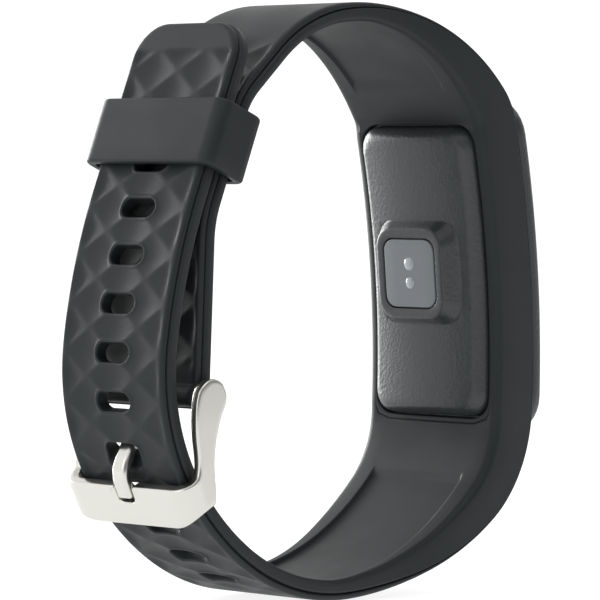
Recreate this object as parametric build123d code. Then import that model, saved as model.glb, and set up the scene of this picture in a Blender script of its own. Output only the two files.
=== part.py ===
"""Fitness tracker band: a tracker pod held in a one-piece silicone band, modelled fastened.

Millimetres. +Z runs up the loop, +Y across the strap (the wrist's axis) and +X from the
buckle towards the pod. The origin is the centre of the loop, on the wrist's axis.
"""
import math
import os

from build123d import *

# ---------------------------------------------------------------- driving dimensions
# The outer line of the frame around the pod is one large arc.
frame_radius = 140.0          # radius of the frame's outer line
frame_centre = (-107.6, -9.5)  # centre of that arc, X and Z
pod_mid_z = 4.2               # height of the middle of the pod
frame_depth = 7.2             # frame side, front face to rear rim
frame_wall = 1.25             # silicone beside the pod
rear_ledge = 1.1              # lip behind the pod that keeps it from falling inwards
ledge_reach = 0.35            # how far the lip comes in past the pod's side

pod_length = 41.0             # pod body, along the loop
pod_width = 20.0              # pod body, across the strap
pod_corner = 3.2              # corners of the pod in plan
pod_fit = 0.1                 # gap between the pod and the band
frame_run_out = 1.8           # how far the pod's ends run past the frame's arc

# Arms: (radius, turn in degrees) of each tangent arc of the outer line, from the pod on.
holed_arm_arcs = [(18.2, 51.6), (45.1, 33.5), (31.6, 33.6), (35.1, 25.0)]
holed_arm_rise = 26.0         # radius where the holed arm turns up beside the buckle
tail_radius = 73.5            # radius of the tail above it
tail_beyond_run = 16.6        # straight tail from the middle of the keeper's run to the tip
buckle_arm_arcs = [(10.0, 30.0), (32.5, 53.6), (22.4, 35.0)]
buckle_arm_slope = 6.0        # straight run before the arm bends down
buckle_arm_bend = (11.0, 26.0)
keeper_run = 11.5             # straight run of the buckle arm through the keeper
buckle_arm_fall = (15.0, 20.0)
bar_drop_less = 22.2          # the straight run down to the spring bar is the pod's length less this

tail_thickness = 2.6
buckle_arm_thickness = 2.4
layer_gap = 0.1               # between the tail and the arm under it
strap_width = 18.2
tail_tip_radius = 5.0
thinning_holed = 46.0         # length over which the holed arm thins down
thinning_buckle = 31.0        # length over which the buckle arm thins down
narrowing = (27.0, -3.0)      # X where the strap starts and stops narrowing

slot_pitch = 6.0
slot_length = 5.6
slot_height = 2.4
slots_above = 6               # slots beyond the one in use, towards the tip
slots_below = 4               # slots before it, towards the pod
used_slot_corner = 0.5        # corners of the slot that the tongue pulls open

keeper_height = 8.5
keeper_up = 1.6               # middle of the keeper, up from the middle of its straight run
keeper_wall = 1.05
keeper_side_wall = 1.3
keeper_slack = 0.2            # gap to the straps, front and back
keeper_side_slack = 0.55      # gap to the straps' edges
keeper_corner = 1.6

bar_tube_radius = 0.65
bar_bore_radius = 0.42
bar_fit = 0.08                # gap round the tube in the strap and in the tongue
bar_bulb_radius = 1.75        # thickened strap end round the bar
bar_inset = 0.9               # bar's axis, in from the arm's outer line
bar_pin_radius = 0.38
bar_tip_radius = 0.3
bar_pin_length = 3.2          # part of the pin inside the tube
bar_pin_fit = 0.03
spring_wire = 0.1
spring_turns = 14

buckle_side_gap = 0.5         # strap edge to buckle arm
buckle_arm_plate = 1.4        # thickness of the two arms
buckle_corner = 2.6           # rounding of the crossbar into the arms
crossbar_reach = 12.4         # spring bar to the middle of the crossbar
crossbar_height = 5.4
crossbar_thickness = 1.5
crossbar_gap = 0.75           # middle of the crossbar to the tail
crossbar_tilt = 8.5           # degrees that its lower edge stands off the tail
lug_radius = 2.3
neck_radius = 1.4
neck_reach = 7.6              # spring bar to the arm's neck
buckle_edge = 0.35            # edge rounding

tongue_reach = 8.1            # spring bar to the slot in use
tongue_width = 2.4
tongue_thickness = 1.4
tongue_eye_wall = 0.7
tongue_play = 7.5             # degrees that the tongue can lift in its slot
tongue_notch_gap = 0.25
tongue_tip_lap = 1.2          # how far the tip reaches over the crossbar
tongue_tip_out = 1.15         # tip's middle line, out from the crossbar's inner face
tongue_slot_gap = 0.15        # tongue to the walls of the slot in use

flange_rise = 2.0             # pod front, proud of the frame
flange_over_side = 1.1        # front flange past the pod body, to each side
flange_over_end = 1.6         # the same at each end
flange_corner = 5.0
lens_thickness = 0.8
lens_inset = 0.9              # bezel round the front lens
lens_fit = 0.08
glue_thickness = 0.15
glue_width = 0.9
shell_wall = 1.0
split_depth = 4.7             # joint between front housing and rear cover
cover_stand = 1.1             # rear cover's side edges, proud of the frame's rear rim
cover_crown = 1.5             # its middle, proud of its side edges
cover_side_gap = 0.25         # rear cover to the frame's rear opening

bump_height = 1.45            # sensor bump on the rear cover
bump_base = (12.85, 12.6)     # along the loop, across it
bump_top = (10.9, 10.7)
bump_corner = 2.2
window_size = (9.0, 8.7)
window_corner = 1.6
window_thickness = 0.7
window_fit = 0.1
dome_radii = (0.83, 0.73)
dome_spacing = 2.5
dome_height = 0.22

gasket_inset = 0.35           # seal, in from the pod's side
gasket_width = 0.3
gasket_height = 0.3
gasket_groove_room = 0.05

# Inside the pod: sizes are (along the loop, across it, outward), levels outward from the frame's front.
display_size = (27.0, 14.0, 1.3)
display_along = 2.0
display_level = -0.55
flex_width = 8.0
flex_thickness = 0.15
flex_reach = 2.4              # how far the display's cable comes out before it turns down
electrode_along = -15.6
electrode_level = -0.35
electrode_radius = 2.6
electrode_leg = 0.6
plate_level = -1.65           # plate that carries the display
plate_thickness = 0.6
plate_corner_cut = (3.0, 3.4)
flex_window = (5.6, 9.4)
flex_window_back = 2.5        # middle of that window, beyond the display's edge
board_level = -2.5
board_thickness = 0.8
board_end_gap = 3.0           # board to the room's end
board_side_gap = 0.8
board_tab = (3.2, 2.8)
screw_radius = 0.6
screw_in = (1.9, 1.4)         # screw, in from the room's end and from the board's side
screw_head = (1.05, 0.5)      # radius and height
screw_length = 1.3
screw_fit = 0.05
post_radius = 1.3
chip_height = 0.7
chip_corner = 0.2
chips = ((-3.0, 2.0, 5.0), (4.5, -2.5, 4.0), (9.0, 3.0, 3.0), (-9.0, -3.0, 3.0))  # along, across, side
antenna_strip = (1.2, 0.2)     # along the loop and outward
antenna_foot = (0.2, 1.2, 0.9)
antenna_level = -1.5
battery_size = (23.0, 11.6, 2.8)
battery_along = -1.8
battery_level = -5.6
battery_board = (1.0, 8.0, 2.0)
foam_size = (20.0, 9.0)
foam_along = -1.0
motor_radius = 3.6
motor_height = 2.6
motor_wall = 0.25
motor_gap = 0.4               # motor to the battery
motor_level = -5.4
motor_shaft_radius = 0.35
rotor_hub_radius = 0.9
rotor_gap = 0.25
rotor_bore_fit = 0.05
contact_radius = 0.8
contact_spacing = 5.0
contact_depth = -2.9
contact_head = 1.0            # length of the pin's wide part
contact_tail = 0.7
sensor_board_size = (7.0, 6.6, 0.5)
sensor_board_gap = 0.52       # window to the sensor board
sensor_die = (1.2, 1.2, 0.4)
sensor_wall = 0.8             # rim behind the window that it rests on

# ---------------------------------------------------------------- worked out sizes
half_strap = strap_width / 2
half_cavity = pod_width / 2 + pod_fit
half_frame = half_cavity + frame_wall
pod_angle = math.asin((pod_mid_z - frame_centre[1]) / frame_radius)
frame_arc = pod_length / 2 - frame_run_out
cover_rim = frame_depth + cover_stand
window_level = -(cover_rim + cover_crown + bump_height)
flange_width = pod_width + 2 * flange_over_side
flange_length = pod_length + 2 * flange_over_end


# ---------------------------------------------------------------- the pod's curved frame
def pod_point(along, across, depth):
    """A point by its place along the pod, across it, and outward from the frame's front."""
    angle = pod_angle + along / frame_radius
    reach = frame_radius + depth
    return Vector(
        frame_centre[0] + reach * math.cos(angle),
        across,
        frame_centre[1] + reach * math.sin(angle),
    )


def pod_plane(along=0.0, depth=0.0):
    """A plane on the pod: x along the loop, y across it, z outward."""
    angle = pod_angle + along / frame_radius
    return Plane(
        origin=pod_point(along, 0, depth),
        x_dir=(-math.sin(angle), 0, math.cos(angle)),
        z_dir=(math.cos(angle), 0, math.sin(angle)),
    )


def pod_shell(profile, length, corner):
    """Turn a (across, depth) outline about the frame's centre, then round its plan corners."""
    far = length / 2
    points = [pod_point(far, across, depth) for across, depth in profile]
    face = make_face(Polyline(*points, close=True))
    return round_plan(spin_along_pod(face, length), corner)


def spin_along_pod(face, length):
    """Sweep a face from the top end of the pod to its bottom end."""
    axis = Axis((frame_centre[0], 0, frame_centre[1]), (0, 1, 0))
    return revolve(face, axis, math.degrees(length / frame_radius))


def round_plan(solid, corner):
    """Round the four corners that are seen from the front."""
    return fillet(edges_along_loop(solid), corner)


def edges_along_loop(solid):
    """Straight edges that do not run across the strap."""
    return [edge for edge in solid.edges().filter_by(GeomType.LINE) if abs((edge @ 1 - edge @ 0).Y) < 0.01]


def pod_block(length, width, low, high, corner):
    """A curved block on the pod between two depths."""
    half = width / 2
    return pod_shell([(-half, low), (half, low), (half, high), (-half, high)], length, corner)


def flat_block(size, middle, corner=0.0):
    """A flat rectangular piece in the pod: size and middle are (along, across, outward)."""
    plan = Rectangle(size[0], size[1])
    if corner > 0:
        plan = RectangleRounded(size[0], size[1], corner)
    place = pod_plane().offset(middle[2] - size[2] / 2) * Pos(middle[0], middle[1], 0)
    return extrude(place * plan, size[2])


def flat_disc(radius, height, middle):
    """A flat round piece in the pod, standing outward."""
    place = pod_plane().offset(middle[2] - height / 2) * Pos(middle[0], middle[1], 0)
    return extrude(place * Circle(radius), height)


# ---------------------------------------------------------------- the strap arms
class Arm:
    """The outer line of one arm: tangent arcs and straight runs, from the pod to its end."""

    def __init__(self, start, heading, side):
        self.side = side            # +1 turns anticlockwise, -1 clockwise
        self.pieces = []            # (length so far, x, z, heading, curvature)
        self.length = 0.0
        self.end = (start[0], start[1], heading)

    def add(self, radius, length):
        """Add an arc, or a straight run where the radius is 0."""
        bend = self.side / radius if radius else 0.0
        self.pieces.append((self.length, *self.end, bend))
        self.length += length
        self.end = self.at(self.length)

    def arc(self, radius, degrees):
        self.add(radius, radius * math.radians(degrees))

    def at(self, place):
        """X, Z and heading at a distance from the start."""
        first, x, z, heading, bend = [p for p in self.pieces if p[0] <= place or p[0] == 0][-1]
        run = place - first
        if not bend:
            return x + run * math.cos(heading), z + run * math.sin(heading), heading
        turned = heading + run * bend
        return (
            x + (math.sin(turned) - math.sin(heading)) / bend,
            z - (math.cos(turned) - math.cos(heading)) / bend,
            turned,
        )

    def point(self, place, inset=0.0):
        """A point on the line, moved towards the wrist by the inset."""
        x, z, heading = self.at(place)
        return (x - self.side * inset * math.sin(heading), z + self.side * inset * math.cos(heading))

    def edges(self, start, stop, inset=0.0):
        """The line between two places, as arcs and straight lines."""
        marks = [p[0] for p in self.pieces if start < p[0] < stop]
        made = []
        for first, last in zip([start, *marks], [*marks, stop]):
            ends = [self.point(place, inset) for place in (first, (first + last) / 2, last)]
            bend = [p for p in self.pieces if p[0] <= first + 1e-6][-1][4]
            made.append(ThreePointArc(*ends) if bend else Line(ends[0], ends[2]))
        return made

    def thinning_edge(self, start, length, thick, thin, steps=8):
        """The inner line where the arm goes from thick to thin."""
        spots = []
        for step in range(steps + 1):
            share = step / steps
            spots.append(self.point(start + length * share, thick + (thin - thick) * ease(share)))
        return Spline(*spots)

    def plane(self, place, outset=0.0):
        """A plane on the arm: x along it, y across the strap, z away from the wrist."""
        x, z = self.point(place, -outset)
        heading = self.at(place)[2]
        out = (self.side * math.sin(heading), 0, -self.side * math.cos(heading))
        return Plane(origin=(x, 0, z), x_dir=(math.cos(heading), 0, math.sin(heading)), z_dir=out)

    def place_at_reach(self, centre, reach, start, stop):
        """The place between start and stop whose distance from a point falls to the reach."""
        for _ in range(60):
            middle = (start + stop) / 2
            x, z = self.point(middle)
            if math.hypot(x - centre[0], z - centre[1]) > reach:
                start = middle
            else:
                stop = middle
        return middle


def ease(share):
    """0 to 1, part straight and part smooth."""
    return 0.5 * share + 0.25 * (1 - math.cos(math.pi * share))


def buckle_arm():
    """The arm that carries the buckle: over the top of the wrist and down inside the tail."""
    top = pod_point(frame_arc, 0, 0)
    arm = Arm((top.X, top.Z), pod_angle + frame_arc / frame_radius + math.pi / 2, +1)
    for radius, turn in buckle_arm_arcs:
        arm.arc(radius, turn)
    arm.add(0, buckle_arm_slope)
    arm.arc(*buckle_arm_bend)
    arm.keeper_place = arm.length + keeper_run / 2
    arm.add(0, keeper_run)
    arm.arc(*buckle_arm_fall)
    arm.add(0, pod_length - bar_drop_less)
    return arm


def holed_arm(inner):
    """The arm with the slots: under the wrist, up through the buckle and on as the tail.

    Its last two arcs are worked out so that the tail lies on the buckle arm in the keeper.
    """
    bottom = pod_point(-frame_arc, 0, 0)
    arm = Arm((bottom.X, bottom.Z), pod_angle - frame_arc / frame_radius - math.pi / 2, -1)
    for radius, turn in holed_arm_arcs:
        arm.arc(radius, turn)
    x, z, heading = arm.end
    hub = (x + holed_arm_rise * math.sin(heading), z - holed_arm_rise * math.cos(heading))
    spot = inner.point(inner.keeper_place, -(layer_gap + tail_thickness))
    tail_heading = inner.at(inner.keeper_place)[2] - math.pi
    along = (math.cos(tail_heading), math.sin(tail_heading))
    inward = (along[1], -along[0])
    base = (spot[0] + tail_radius * inward[0], spot[1] + tail_radius * inward[1])
    offset = (hub[0] - base[0], hub[1] - base[1])
    run = offset[0] * along[0] + offset[1] * along[1]
    side_step = offset[0] * inward[0] + offset[1] * inward[1]
    slide = run + math.sqrt((tail_radius - holed_arm_rise) ** 2 - side_step**2)
    centre = (base[0] + slide * along[0], base[1] + slide * along[1])
    meeting = math.atan2(hub[1] - centre[1], hub[0] - centre[0]) - math.pi / 2
    arm.add(holed_arm_rise, holed_arm_rise * ((heading - meeting) % (2 * math.pi)))
    arm.add(tail_radius, tail_radius * ((meeting - tail_heading) % (2 * math.pi)))
    arm.keeper_place = arm.length - slide
    arm.add(0, tail_beyond_run - slide)
    return arm


inner_arm = buckle_arm()
outer_arm = holed_arm(inner_arm)
bar_place = inner_arm.length
bar_x, bar_z = inner_arm.point(bar_place, bar_inset)
bar = Vector(bar_x, 0, bar_z)
rise_start = outer_arm.pieces[len(holed_arm_arcs) - 2][0]
slot_in_use = outer_arm.place_at_reach((bar_x, bar_z), tongue_reach, rise_start, outer_arm.pieces[-2][0])
crossbar_place = outer_arm.place_at_reach((bar_x, bar_z), crossbar_reach, rise_start, slot_in_use)


# ---------------------------------------------------------------- helpers for side outlines
def side_extrude(sketch, half_width):
    """Extrude a sketch drawn in X and Z to both sides of the strap's middle."""
    return extrude(Plane.XZ * sketch, half_width, both=True)


def disc_at(spot, radius):
    return Pos(spot[0], spot[1]) * Circle(radius)


def hull_of(*discs):
    """The outline of a belt pulled tight round some discs."""
    return make_hull([disc.edge() for disc in discs])


def across_cylinder(radius, low, high):
    """A cylinder along Y on the spring bar's axis."""
    plane = Plane(origin=(bar.X, low, bar.Z), x_dir=(1, 0, 0), z_dir=(0, 1, 0))
    return extrude(plane * Circle(radius), high - low)


# ---------------------------------------------------------------- silicone band
def band_side():
    """Side outline of the whole band: tail, frame and buckle arm in one loop."""
    edges = []
    for depth in (0, -frame_depth):
        spots = [pod_point(along, 0, depth) for along in (-frame_arc, 0, frame_arc)]
        edges.append(ThreePointArc(*[(spot.X, spot.Z) for spot in spots]))
    for arm, length, thin in (
        (outer_arm, thinning_holed, tail_thickness),
        (inner_arm, thinning_buckle, buckle_arm_thickness),
    ):
        edges += arm.edges(0, arm.length)
        edges.append(arm.thinning_edge(0, length, frame_depth, thin))
        edges += arm.edges(length, arm.length, thin)
        edges.append(Line(arm.point(arm.length), arm.point(arm.length, thin)))
    return make_face(Wire(edges))


def band_plan():
    """Plan outline of the band: wide at the pod, narrowing smoothly to the strap."""
    wide_x, narrow_x = narrowing
    middle = ((wide_x + narrow_x) / 2, (half_frame + half_strap) / 2)
    reach = 60.0
    sides = []
    for sign in (1, -1):
        near = (reach, sign * half_frame)
        shoulder = (wide_x, sign * half_frame)
        halfway = (middle[0], sign * middle[1])
        waist = (narrow_x, sign * half_strap)
        far = (-reach, sign * half_strap)
        first = TangentArc(shoulder, halfway, tangent=(-1, 0))
        second = TangentArc(halfway, waist, tangent=first % 1)
        sides += [Line(near, shoulder), first, second, Line(waist, far)]
    ends = [
        Line((reach, half_frame), (reach, -half_frame)),
        Line((-reach, half_strap), (-reach, -half_strap)),
    ]
    return make_face(Wire(sides + ends))


def tail_tip_cutter():
    """What rounding the tail's tip takes away."""
    length = tail_tip_radius * 2
    deep = tail_thickness + layer_gap
    plane = outer_arm.plane(outer_arm.length).offset(-deep + layer_gap / 2)
    block = plane * Rectangle(length, strap_width + 2)
    rounded = plane * Pos(-length / 2, 0) * RectangleRounded(length, strap_width, tail_tip_radius * 0.98)
    filled = plane * Pos(-length, 0) * Rectangle(length, strap_width)
    tip = extrude(rounded, deep + 1) + extrude(filled, deep + 1)
    return extrude(block, deep + 1) - tip


def slot_cutter(place):
    """A slot with round ends, straight through the holed arm."""
    plane = outer_arm.plane(place, 1.0)
    outline = plane * Rot(0, 0, 90) * SlotOverall(slot_length, slot_height)
    return extrude(outline, -(tail_thickness + 2.0))


def tongue_points():
    """The tongue's middle line: bar, bend outside the tail, tip at the crossbar."""
    bend_place = slot_in_use - slot_height
    bend = outer_arm.point(bend_place, -(tongue_thickness / 2 + 0.25))
    tip = spot_on(crossbar_plane(), crossbar_height / 2 - tongue_tip_lap, tongue_tip_out)
    return (bar.X, bar.Z), bend, tip


def used_slot_cutter():
    """The slot in use, pulled open by the tongue and clear of it as it lifts."""
    _, bend, _ = tongue_points()
    angle = math.atan2(bend[1] - bar.Z, bend[0] - bar.X)
    near, far = tongue_reach - 4.5, tongue_reach + 5.0
    room = tongue_thickness / 2 + tongue_slot_gap
    lifted = angle - math.radians(tongue_play)
    corners = [
        ray_spot(near, angle, room),
        ray_spot(far, angle, room),
        ray_spot(far, lifted, -room),
        ray_spot(near, lifted, -room),
    ]
    wedge = side_extrude(make_face(Polyline(*corners, close=True)), slot_length / 2)
    runs = [edge for edge in edges_along_loop(wedge) if edge.length > far - near - 0.5]
    wedge = fillet(runs, used_slot_corner)
    return wedge & tail_slab()


def ray_spot(along, ray, side):
    """X and Z of a point along a ray from the spring bar, and to one side of it."""
    return (
        bar.X + along * math.cos(ray) - side * math.sin(ray),
        bar.Z + along * math.sin(ray) + side * math.cos(ray),
    )


def tail_slab():
    """A slab that holds only the tail near the slot in use."""
    first, last = slot_in_use - 7.0, slot_in_use + 7.0
    start, stop = outer_arm.point(first, -1.0), outer_arm.point(last, -1.0)
    back_start = outer_arm.point(first, tail_thickness + 0.4)
    back_stop = outer_arm.point(last, tail_thickness + 0.4)
    middle = (first + last) / 2
    outline = make_face(
        Wire(
            [
                ThreePointArc(start, outer_arm.point(middle, -1.0), stop),
                Line(stop, back_stop),
                ThreePointArc(back_stop, outer_arm.point(middle, tail_thickness + 0.4), back_start),
                Line(back_start, start),
            ]
        )
    )
    return side_extrude(outline, half_strap)


def make_band():
    side = side_extrude(band_side(), half_frame + 1)
    plan = extrude(Plane.XY * band_plan(), 60, both=True)
    body = side & plan
    body += across_cylinder(bar_bulb_radius, -half_strap, half_strap)
    body -= across_cylinder(bar_tube_radius + bar_fit, -half_strap - 1, half_strap + 1)
    notch = Plane.XZ * Pos(bar.X, bar.Z - 0.6) * Rectangle(2 * bar_bulb_radius + 2, 2 * bar_bulb_radius + 2.6)
    body -= extrude(notch, tongue_width / 2 + 0.4, both=True)
    cavity = pod_block(
        pod_length + 2 * pod_fit, 2 * half_cavity, -(frame_depth - rear_ledge), 3.0, pod_corner + pod_fit
    )
    opening = pod_block(
        pod_length - 2 * ledge_reach,
        2 * (half_cavity - ledge_reach),
        -(frame_depth + 2.0),
        0.0,
        pod_corner - ledge_reach,
    )
    body = body - cavity - opening - tail_tip_cutter()
    for number in range(-slots_below, slots_above + 1):
        if number:
            body -= slot_cutter(slot_in_use + number * slot_pitch)
    return body - used_slot_cutter()


# ---------------------------------------------------------------- keeper
def make_keeper():
    """The loose loop that holds the tail down on the buckle arm."""
    plane = inner_arm.plane(inner_arm.keeper_place - keeper_up, layer_gap / 2)
    inside = tail_thickness + layer_gap + buckle_arm_thickness + 2 * keeper_slack
    middle = (tail_thickness - buckle_arm_thickness) / 2
    deep = inside + 2 * keeper_wall
    wide = strap_width + 2 * (keeper_side_slack + keeper_side_wall)
    ring_plane = Plane(origin=plane.origin, x_dir=plane.z_dir, z_dir=plane.x_dir)
    outer = ring_plane * Pos(middle, 0) * RectangleRounded(deep, wide, keeper_corner)
    hole = ring_plane * Pos(middle, 0) * RectangleRounded(inside, strap_width + 2 * keeper_side_slack, 0.5)
    ring = extrude(outer, keeper_height / 2, both=True) - extrude(hole, keeper_height, both=True)
    rims = [edge for edge in ring.edges() if abs(edge.length - (wide - 2 * keeper_corner)) < 0.01]
    return fillet(rims, 0.3)


# ---------------------------------------------------------------- buckle
def crossbar_plane():
    """Plane at the middle of the crossbar's inner face: x up the tail, z outward."""
    return outer_arm.plane(crossbar_place, crossbar_gap).rotated((0, crossbar_tilt, 0))


def spot_on(plane, along, out):
    """X and Z of a point given in a plane that stands across the strap."""
    place = plane.origin + plane.x_dir * along + plane.z_dir * out
    return (place.X, place.Z)


def buckle_side():
    """Side outline of the buckle: lug, neck and the plate that meets the crossbar."""
    plane = crossbar_plane()
    half = crossbar_height / 2
    rounding = crossbar_thickness / 2
    foot_top = spot_on(plane, half - rounding, rounding)
    foot_low = spot_on(plane, -half + rounding, rounding)
    heel = spot_on(plane, -half + 2.2, -2.6)
    down = math.atan2(foot_low[1] - bar.Z, foot_low[0] - bar.X)
    neck = (bar.X + neck_reach * math.cos(down) - 0.1, bar.Z + neck_reach * math.sin(down))
    lug = disc_at((bar.X - 0.2, bar.Z), lug_radius)
    lug_top = disc_at((bar.X - 0.1, bar.Z + 0.5), lug_radius - 0.05)
    neck_disc = disc_at(neck, neck_radius)
    limb = hull_of(lug, lug_top, neck_disc)
    foot = hull_of(neck_disc, disc_at(foot_top, rounding), disc_at(foot_low, rounding), disc_at(heel, 1.0))
    return limb + foot


def make_buckle_frame():
    """One-piece steel frame: two arms joined by the crossbar."""
    inner_half = half_strap + buckle_side_gap
    outer_half = inner_half + buckle_arm_plate
    plane = crossbar_plane()
    blank = side_extrude(buckle_side(), outer_half)
    reach = 30.0
    section = Plane(origin=plane.origin, x_dir=plane.z_dir, z_dir=plane.x_dir)
    outer = section * Pos(crossbar_thickness - reach / 2, 0) * RectangleRounded(
        reach, 2 * outer_half, buckle_corner
    )
    inner = section * Pos(-reach / 2, 0) * RectangleRounded(reach, 2 * inner_half, buckle_corner - 1.2)
    frame = (blank & extrude(outer, reach, both=True)) - extrude(inner, reach + 5, both=True)
    notch_plane = Plane(origin=plane.origin, x_dir=plane.x_dir, z_dir=plane.z_dir)
    notch = notch_plane * Pos(crossbar_height / 2, 0) * RectangleRounded(
        4.4, tongue_width + 2 * tongue_notch_gap, 0.8
    )
    frame -= extrude(notch, 4, both=True)
    for side in (-1, 1):
        depth = side * (inner_half - 0.5)
        end = side * (outer_half - 0.3)
        frame -= across_cylinder(bar_tip_radius + bar_pin_fit, min(depth, end), max(depth, end))
    return frame


def make_buckle_tongue():
    """Arched tongue: an eye round the spring bar, a straight run and a bent tip."""
    eye_spot, bend, tip = tongue_points()
    eye_radius = bar_tube_radius + bar_fit + tongue_eye_wall
    half = tongue_thickness / 2
    run = hull_of(disc_at(eye_spot, half), disc_at(bend, half))
    hook = hull_of(disc_at(bend, half), disc_at(tip, half * 0.85))
    outline = run + hook + disc_at(eye_spot, eye_radius)
    body = side_extrude(outline, tongue_width / 2)
    return body - across_cylinder(bar_tube_radius + bar_fit, -tongue_width, tongue_width)


# ---------------------------------------------------------------- spring bar
def make_bar_tube():
    tube = across_cylinder(bar_tube_radius, -half_strap, half_strap)
    return tube - across_cylinder(bar_bore_radius, -half_strap - 1, half_strap + 1)


def make_bar_pin(side):
    """A pin with a thinner tip that reaches into the buckle's arm."""
    inner = half_strap - bar_pin_length
    reach = half_strap + buckle_side_gap + buckle_arm_plate - 0.5
    lows = sorted((side * inner, side * half_strap))
    tips = sorted((side * half_strap, side * reach))
    return across_cylinder(bar_bore_radius - bar_pin_fit, *lows) + across_cylinder(bar_tip_radius, *tips)


def make_bar_spring():
    """The closed coil between the pins, as a stack of rings on a thin core."""
    length = 2 * (half_strap - bar_pin_length)
    coil = across_cylinder(bar_bore_radius - 0.12, -length / 2, length / 2)
    pitch = length / spring_turns
    for turn in range(spring_turns):
        middle = -length / 2 + (turn + 0.5) * pitch
        coil += across_cylinder(bar_bore_radius - 0.04, middle - spring_wire, middle + spring_wire)
    return coil - across_cylinder(0.15, -length, length)


# ---------------------------------------------------------------- pod shells
lens_width = flange_width - 2 * lens_inset
lens_length = flange_length - 2 * lens_inset
lens_corner = flange_corner - lens_inset
lens_back = flange_rise - lens_thickness
shelf_front = lens_back - glue_thickness
shelf_back = shelf_front - 0.7
room_width = pod_width - 2 * shell_wall
room_length = pod_length - 2 * shell_wall
room_corner = pod_corner - shell_wall
plateau_width = 2 * (half_cavity - ledge_reach - cover_side_gap)
plateau_length = pod_length - 2 * (ledge_reach + cover_side_gap)
plateau_corner = pod_corner - ledge_reach
shoulder_depth = -(frame_depth - rear_ledge) + pod_fit


def make_front_housing():
    """Front housing: a tub in the band with a bezel flange in front of it."""
    tub = pod_block(pod_length, pod_width, -split_depth, pod_fit, pod_corner)
    flange = pod_block(flange_length, flange_width, pod_fit, flange_rise, flange_corner)
    room = pod_block(room_length, room_width, -split_depth - 1, shelf_back, room_corner)
    window = pod_block(
        room_length - 2 * glue_width, room_width - 2 * glue_width, -1, flange_rise + 1, room_corner - 0.4
    )
    pocket = pod_block(
        lens_length + 2 * lens_fit,
        lens_width + 2 * lens_fit,
        shelf_front,
        flange_rise + 1,
        lens_corner + lens_fit,
    )
    body = tub + flange - room - window - pocket
    for side in (-1, 1):
        body += screw_post(side)
        body -= contact_cutter(side)
    return body


def screw_post(side):
    """A post that a board screw goes into."""
    top = shelf_back + 0.1 - curve_drop(screw_place(side)[0])
    foot = board_level + board_thickness / 2
    post = flat_disc(post_radius, top - foot, (*screw_place(side), (top + foot) / 2))
    return post - flat_disc(screw_radius, 2 * (top - foot), (*screw_place(side), foot))


def curve_drop(along):
    """How far the curved front falls back from a flat plane at the pod's middle."""
    return frame_radius - math.sqrt(frame_radius**2 - along**2)


def screw_place(side):
    """Along and across of a board screw, at opposite corners of the board."""
    return (side * (room_length / 2 - screw_in[0]), side * (board_width / 2 - screw_in[1]))


def contact_cutter(side):
    """Hole in the bottom end wall for a charging contact."""
    return extrude(contact_plane(side).offset(-1.0) * Circle(contact_radius), 3.2)


def contact_plane(side):
    """Outer end of a charging contact, its z going into the pod."""
    return Plane(
        origin=pod_point(-pod_length / 2, side * contact_spacing / 2, contact_depth),
        x_dir=(0, 1, 0),
        z_dir=pod_plane(-pod_length / 2).x_dir,
    )


def make_charging_contacts():
    """Two gold pins, flush with the pod's bottom end."""
    pins = []
    for side in (-1, 1):
        plane = contact_plane(side)
        pin = extrude(plane * Circle(contact_radius), contact_head)
        pins.append(pin + extrude(plane.offset(contact_head) * Circle(contact_radius * 0.6), contact_tail))
    return Compound(children=pins)


def crowned_face(width, edge_depth, crown, back):
    """Across-the-pod section whose rear side is a shallow arc."""
    half = width / 2
    far = plateau_length / 2
    corner_low = pod_point(far, -half, -edge_depth)
    corner_high = pod_point(far, half, -edge_depth)
    top = pod_point(far, 0, -(edge_depth + crown))
    back_high = pod_point(far, half, -back)
    back_low = pod_point(far, -half, -back)
    return make_face(
        Wire(
            [
                ThreePointArc(corner_low, top, corner_high),
                Line(corner_high, back_high),
                Line(back_high, back_low),
                Line(back_low, corner_low),
            ]
        )
    )


def bump_solid():
    """Truncated pyramid with rounded corners that lifts the sensor window to the skin."""
    crown_level = -(cover_rim + cover_crown)
    base = pod_plane().offset(crown_level + 0.6) * RectangleRounded(
        bump_base[0] + 0.8, bump_base[1] + 0.8, bump_corner + 0.3
    )
    top = pod_plane().offset(crown_level - bump_height) * RectangleRounded(*bump_top, bump_corner - 0.3)
    return loft([base.face(), top.face()])


def make_rear_cover():
    """Rear cover: a crowned plateau in the frame's opening and the raised sensor bump."""
    skirt = pod_block(pod_length, pod_width, shoulder_depth, -split_depth, pod_corner)
    section = crowned_face(plateau_width, cover_rim, cover_crown, split_depth)
    plateau = round_plan(spin_along_pod(section, plateau_length), plateau_corner)
    outside = skirt + plateau + bump_solid()
    lining = crowned_face(
        plateau_width - 2 * shell_wall, cover_rim - shell_wall + 0.2, cover_crown, split_depth - 1
    )
    room = round_plan(spin_along_pod(lining, plateau_length), plateau_corner - shell_wall)
    ends = pod_block(plateau_length - 2 * shell_wall, pod_width, -20, 5, plateau_corner - shell_wall)
    window_room = flat_block(
        (window_size[0] + 2 * window_fit, window_size[1] + 2 * window_fit, window_thickness * 2),
        (0, 0, window_level),
        window_corner + window_fit,
    )
    sensor_room = flat_block(
        (window_size[0] - 2 * sensor_wall, window_size[1] - 2 * sensor_wall, 4.0),
        (0, 0, window_level + 2.2),
        window_corner,
    )
    cover = outside - (room & ends) - window_room - sensor_room
    return cover - gasket_ring(gasket_groove_room)


def gasket_ring(extra=0.0):
    """The seal's ring; extra widens it for the groove it lies in."""
    length = pod_length - 2 * gasket_inset
    wide = pod_width - 2 * gasket_inset
    high = -split_depth
    low = high - gasket_height
    step = 2 * gasket_width + extra
    corner = pod_corner - gasket_inset
    outer = pod_block(length + extra, wide + extra, low - extra, high, corner)
    inner = pod_block(length - step, wide - step, low - 1, high + 1, corner - gasket_width)
    return outer - inner


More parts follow.
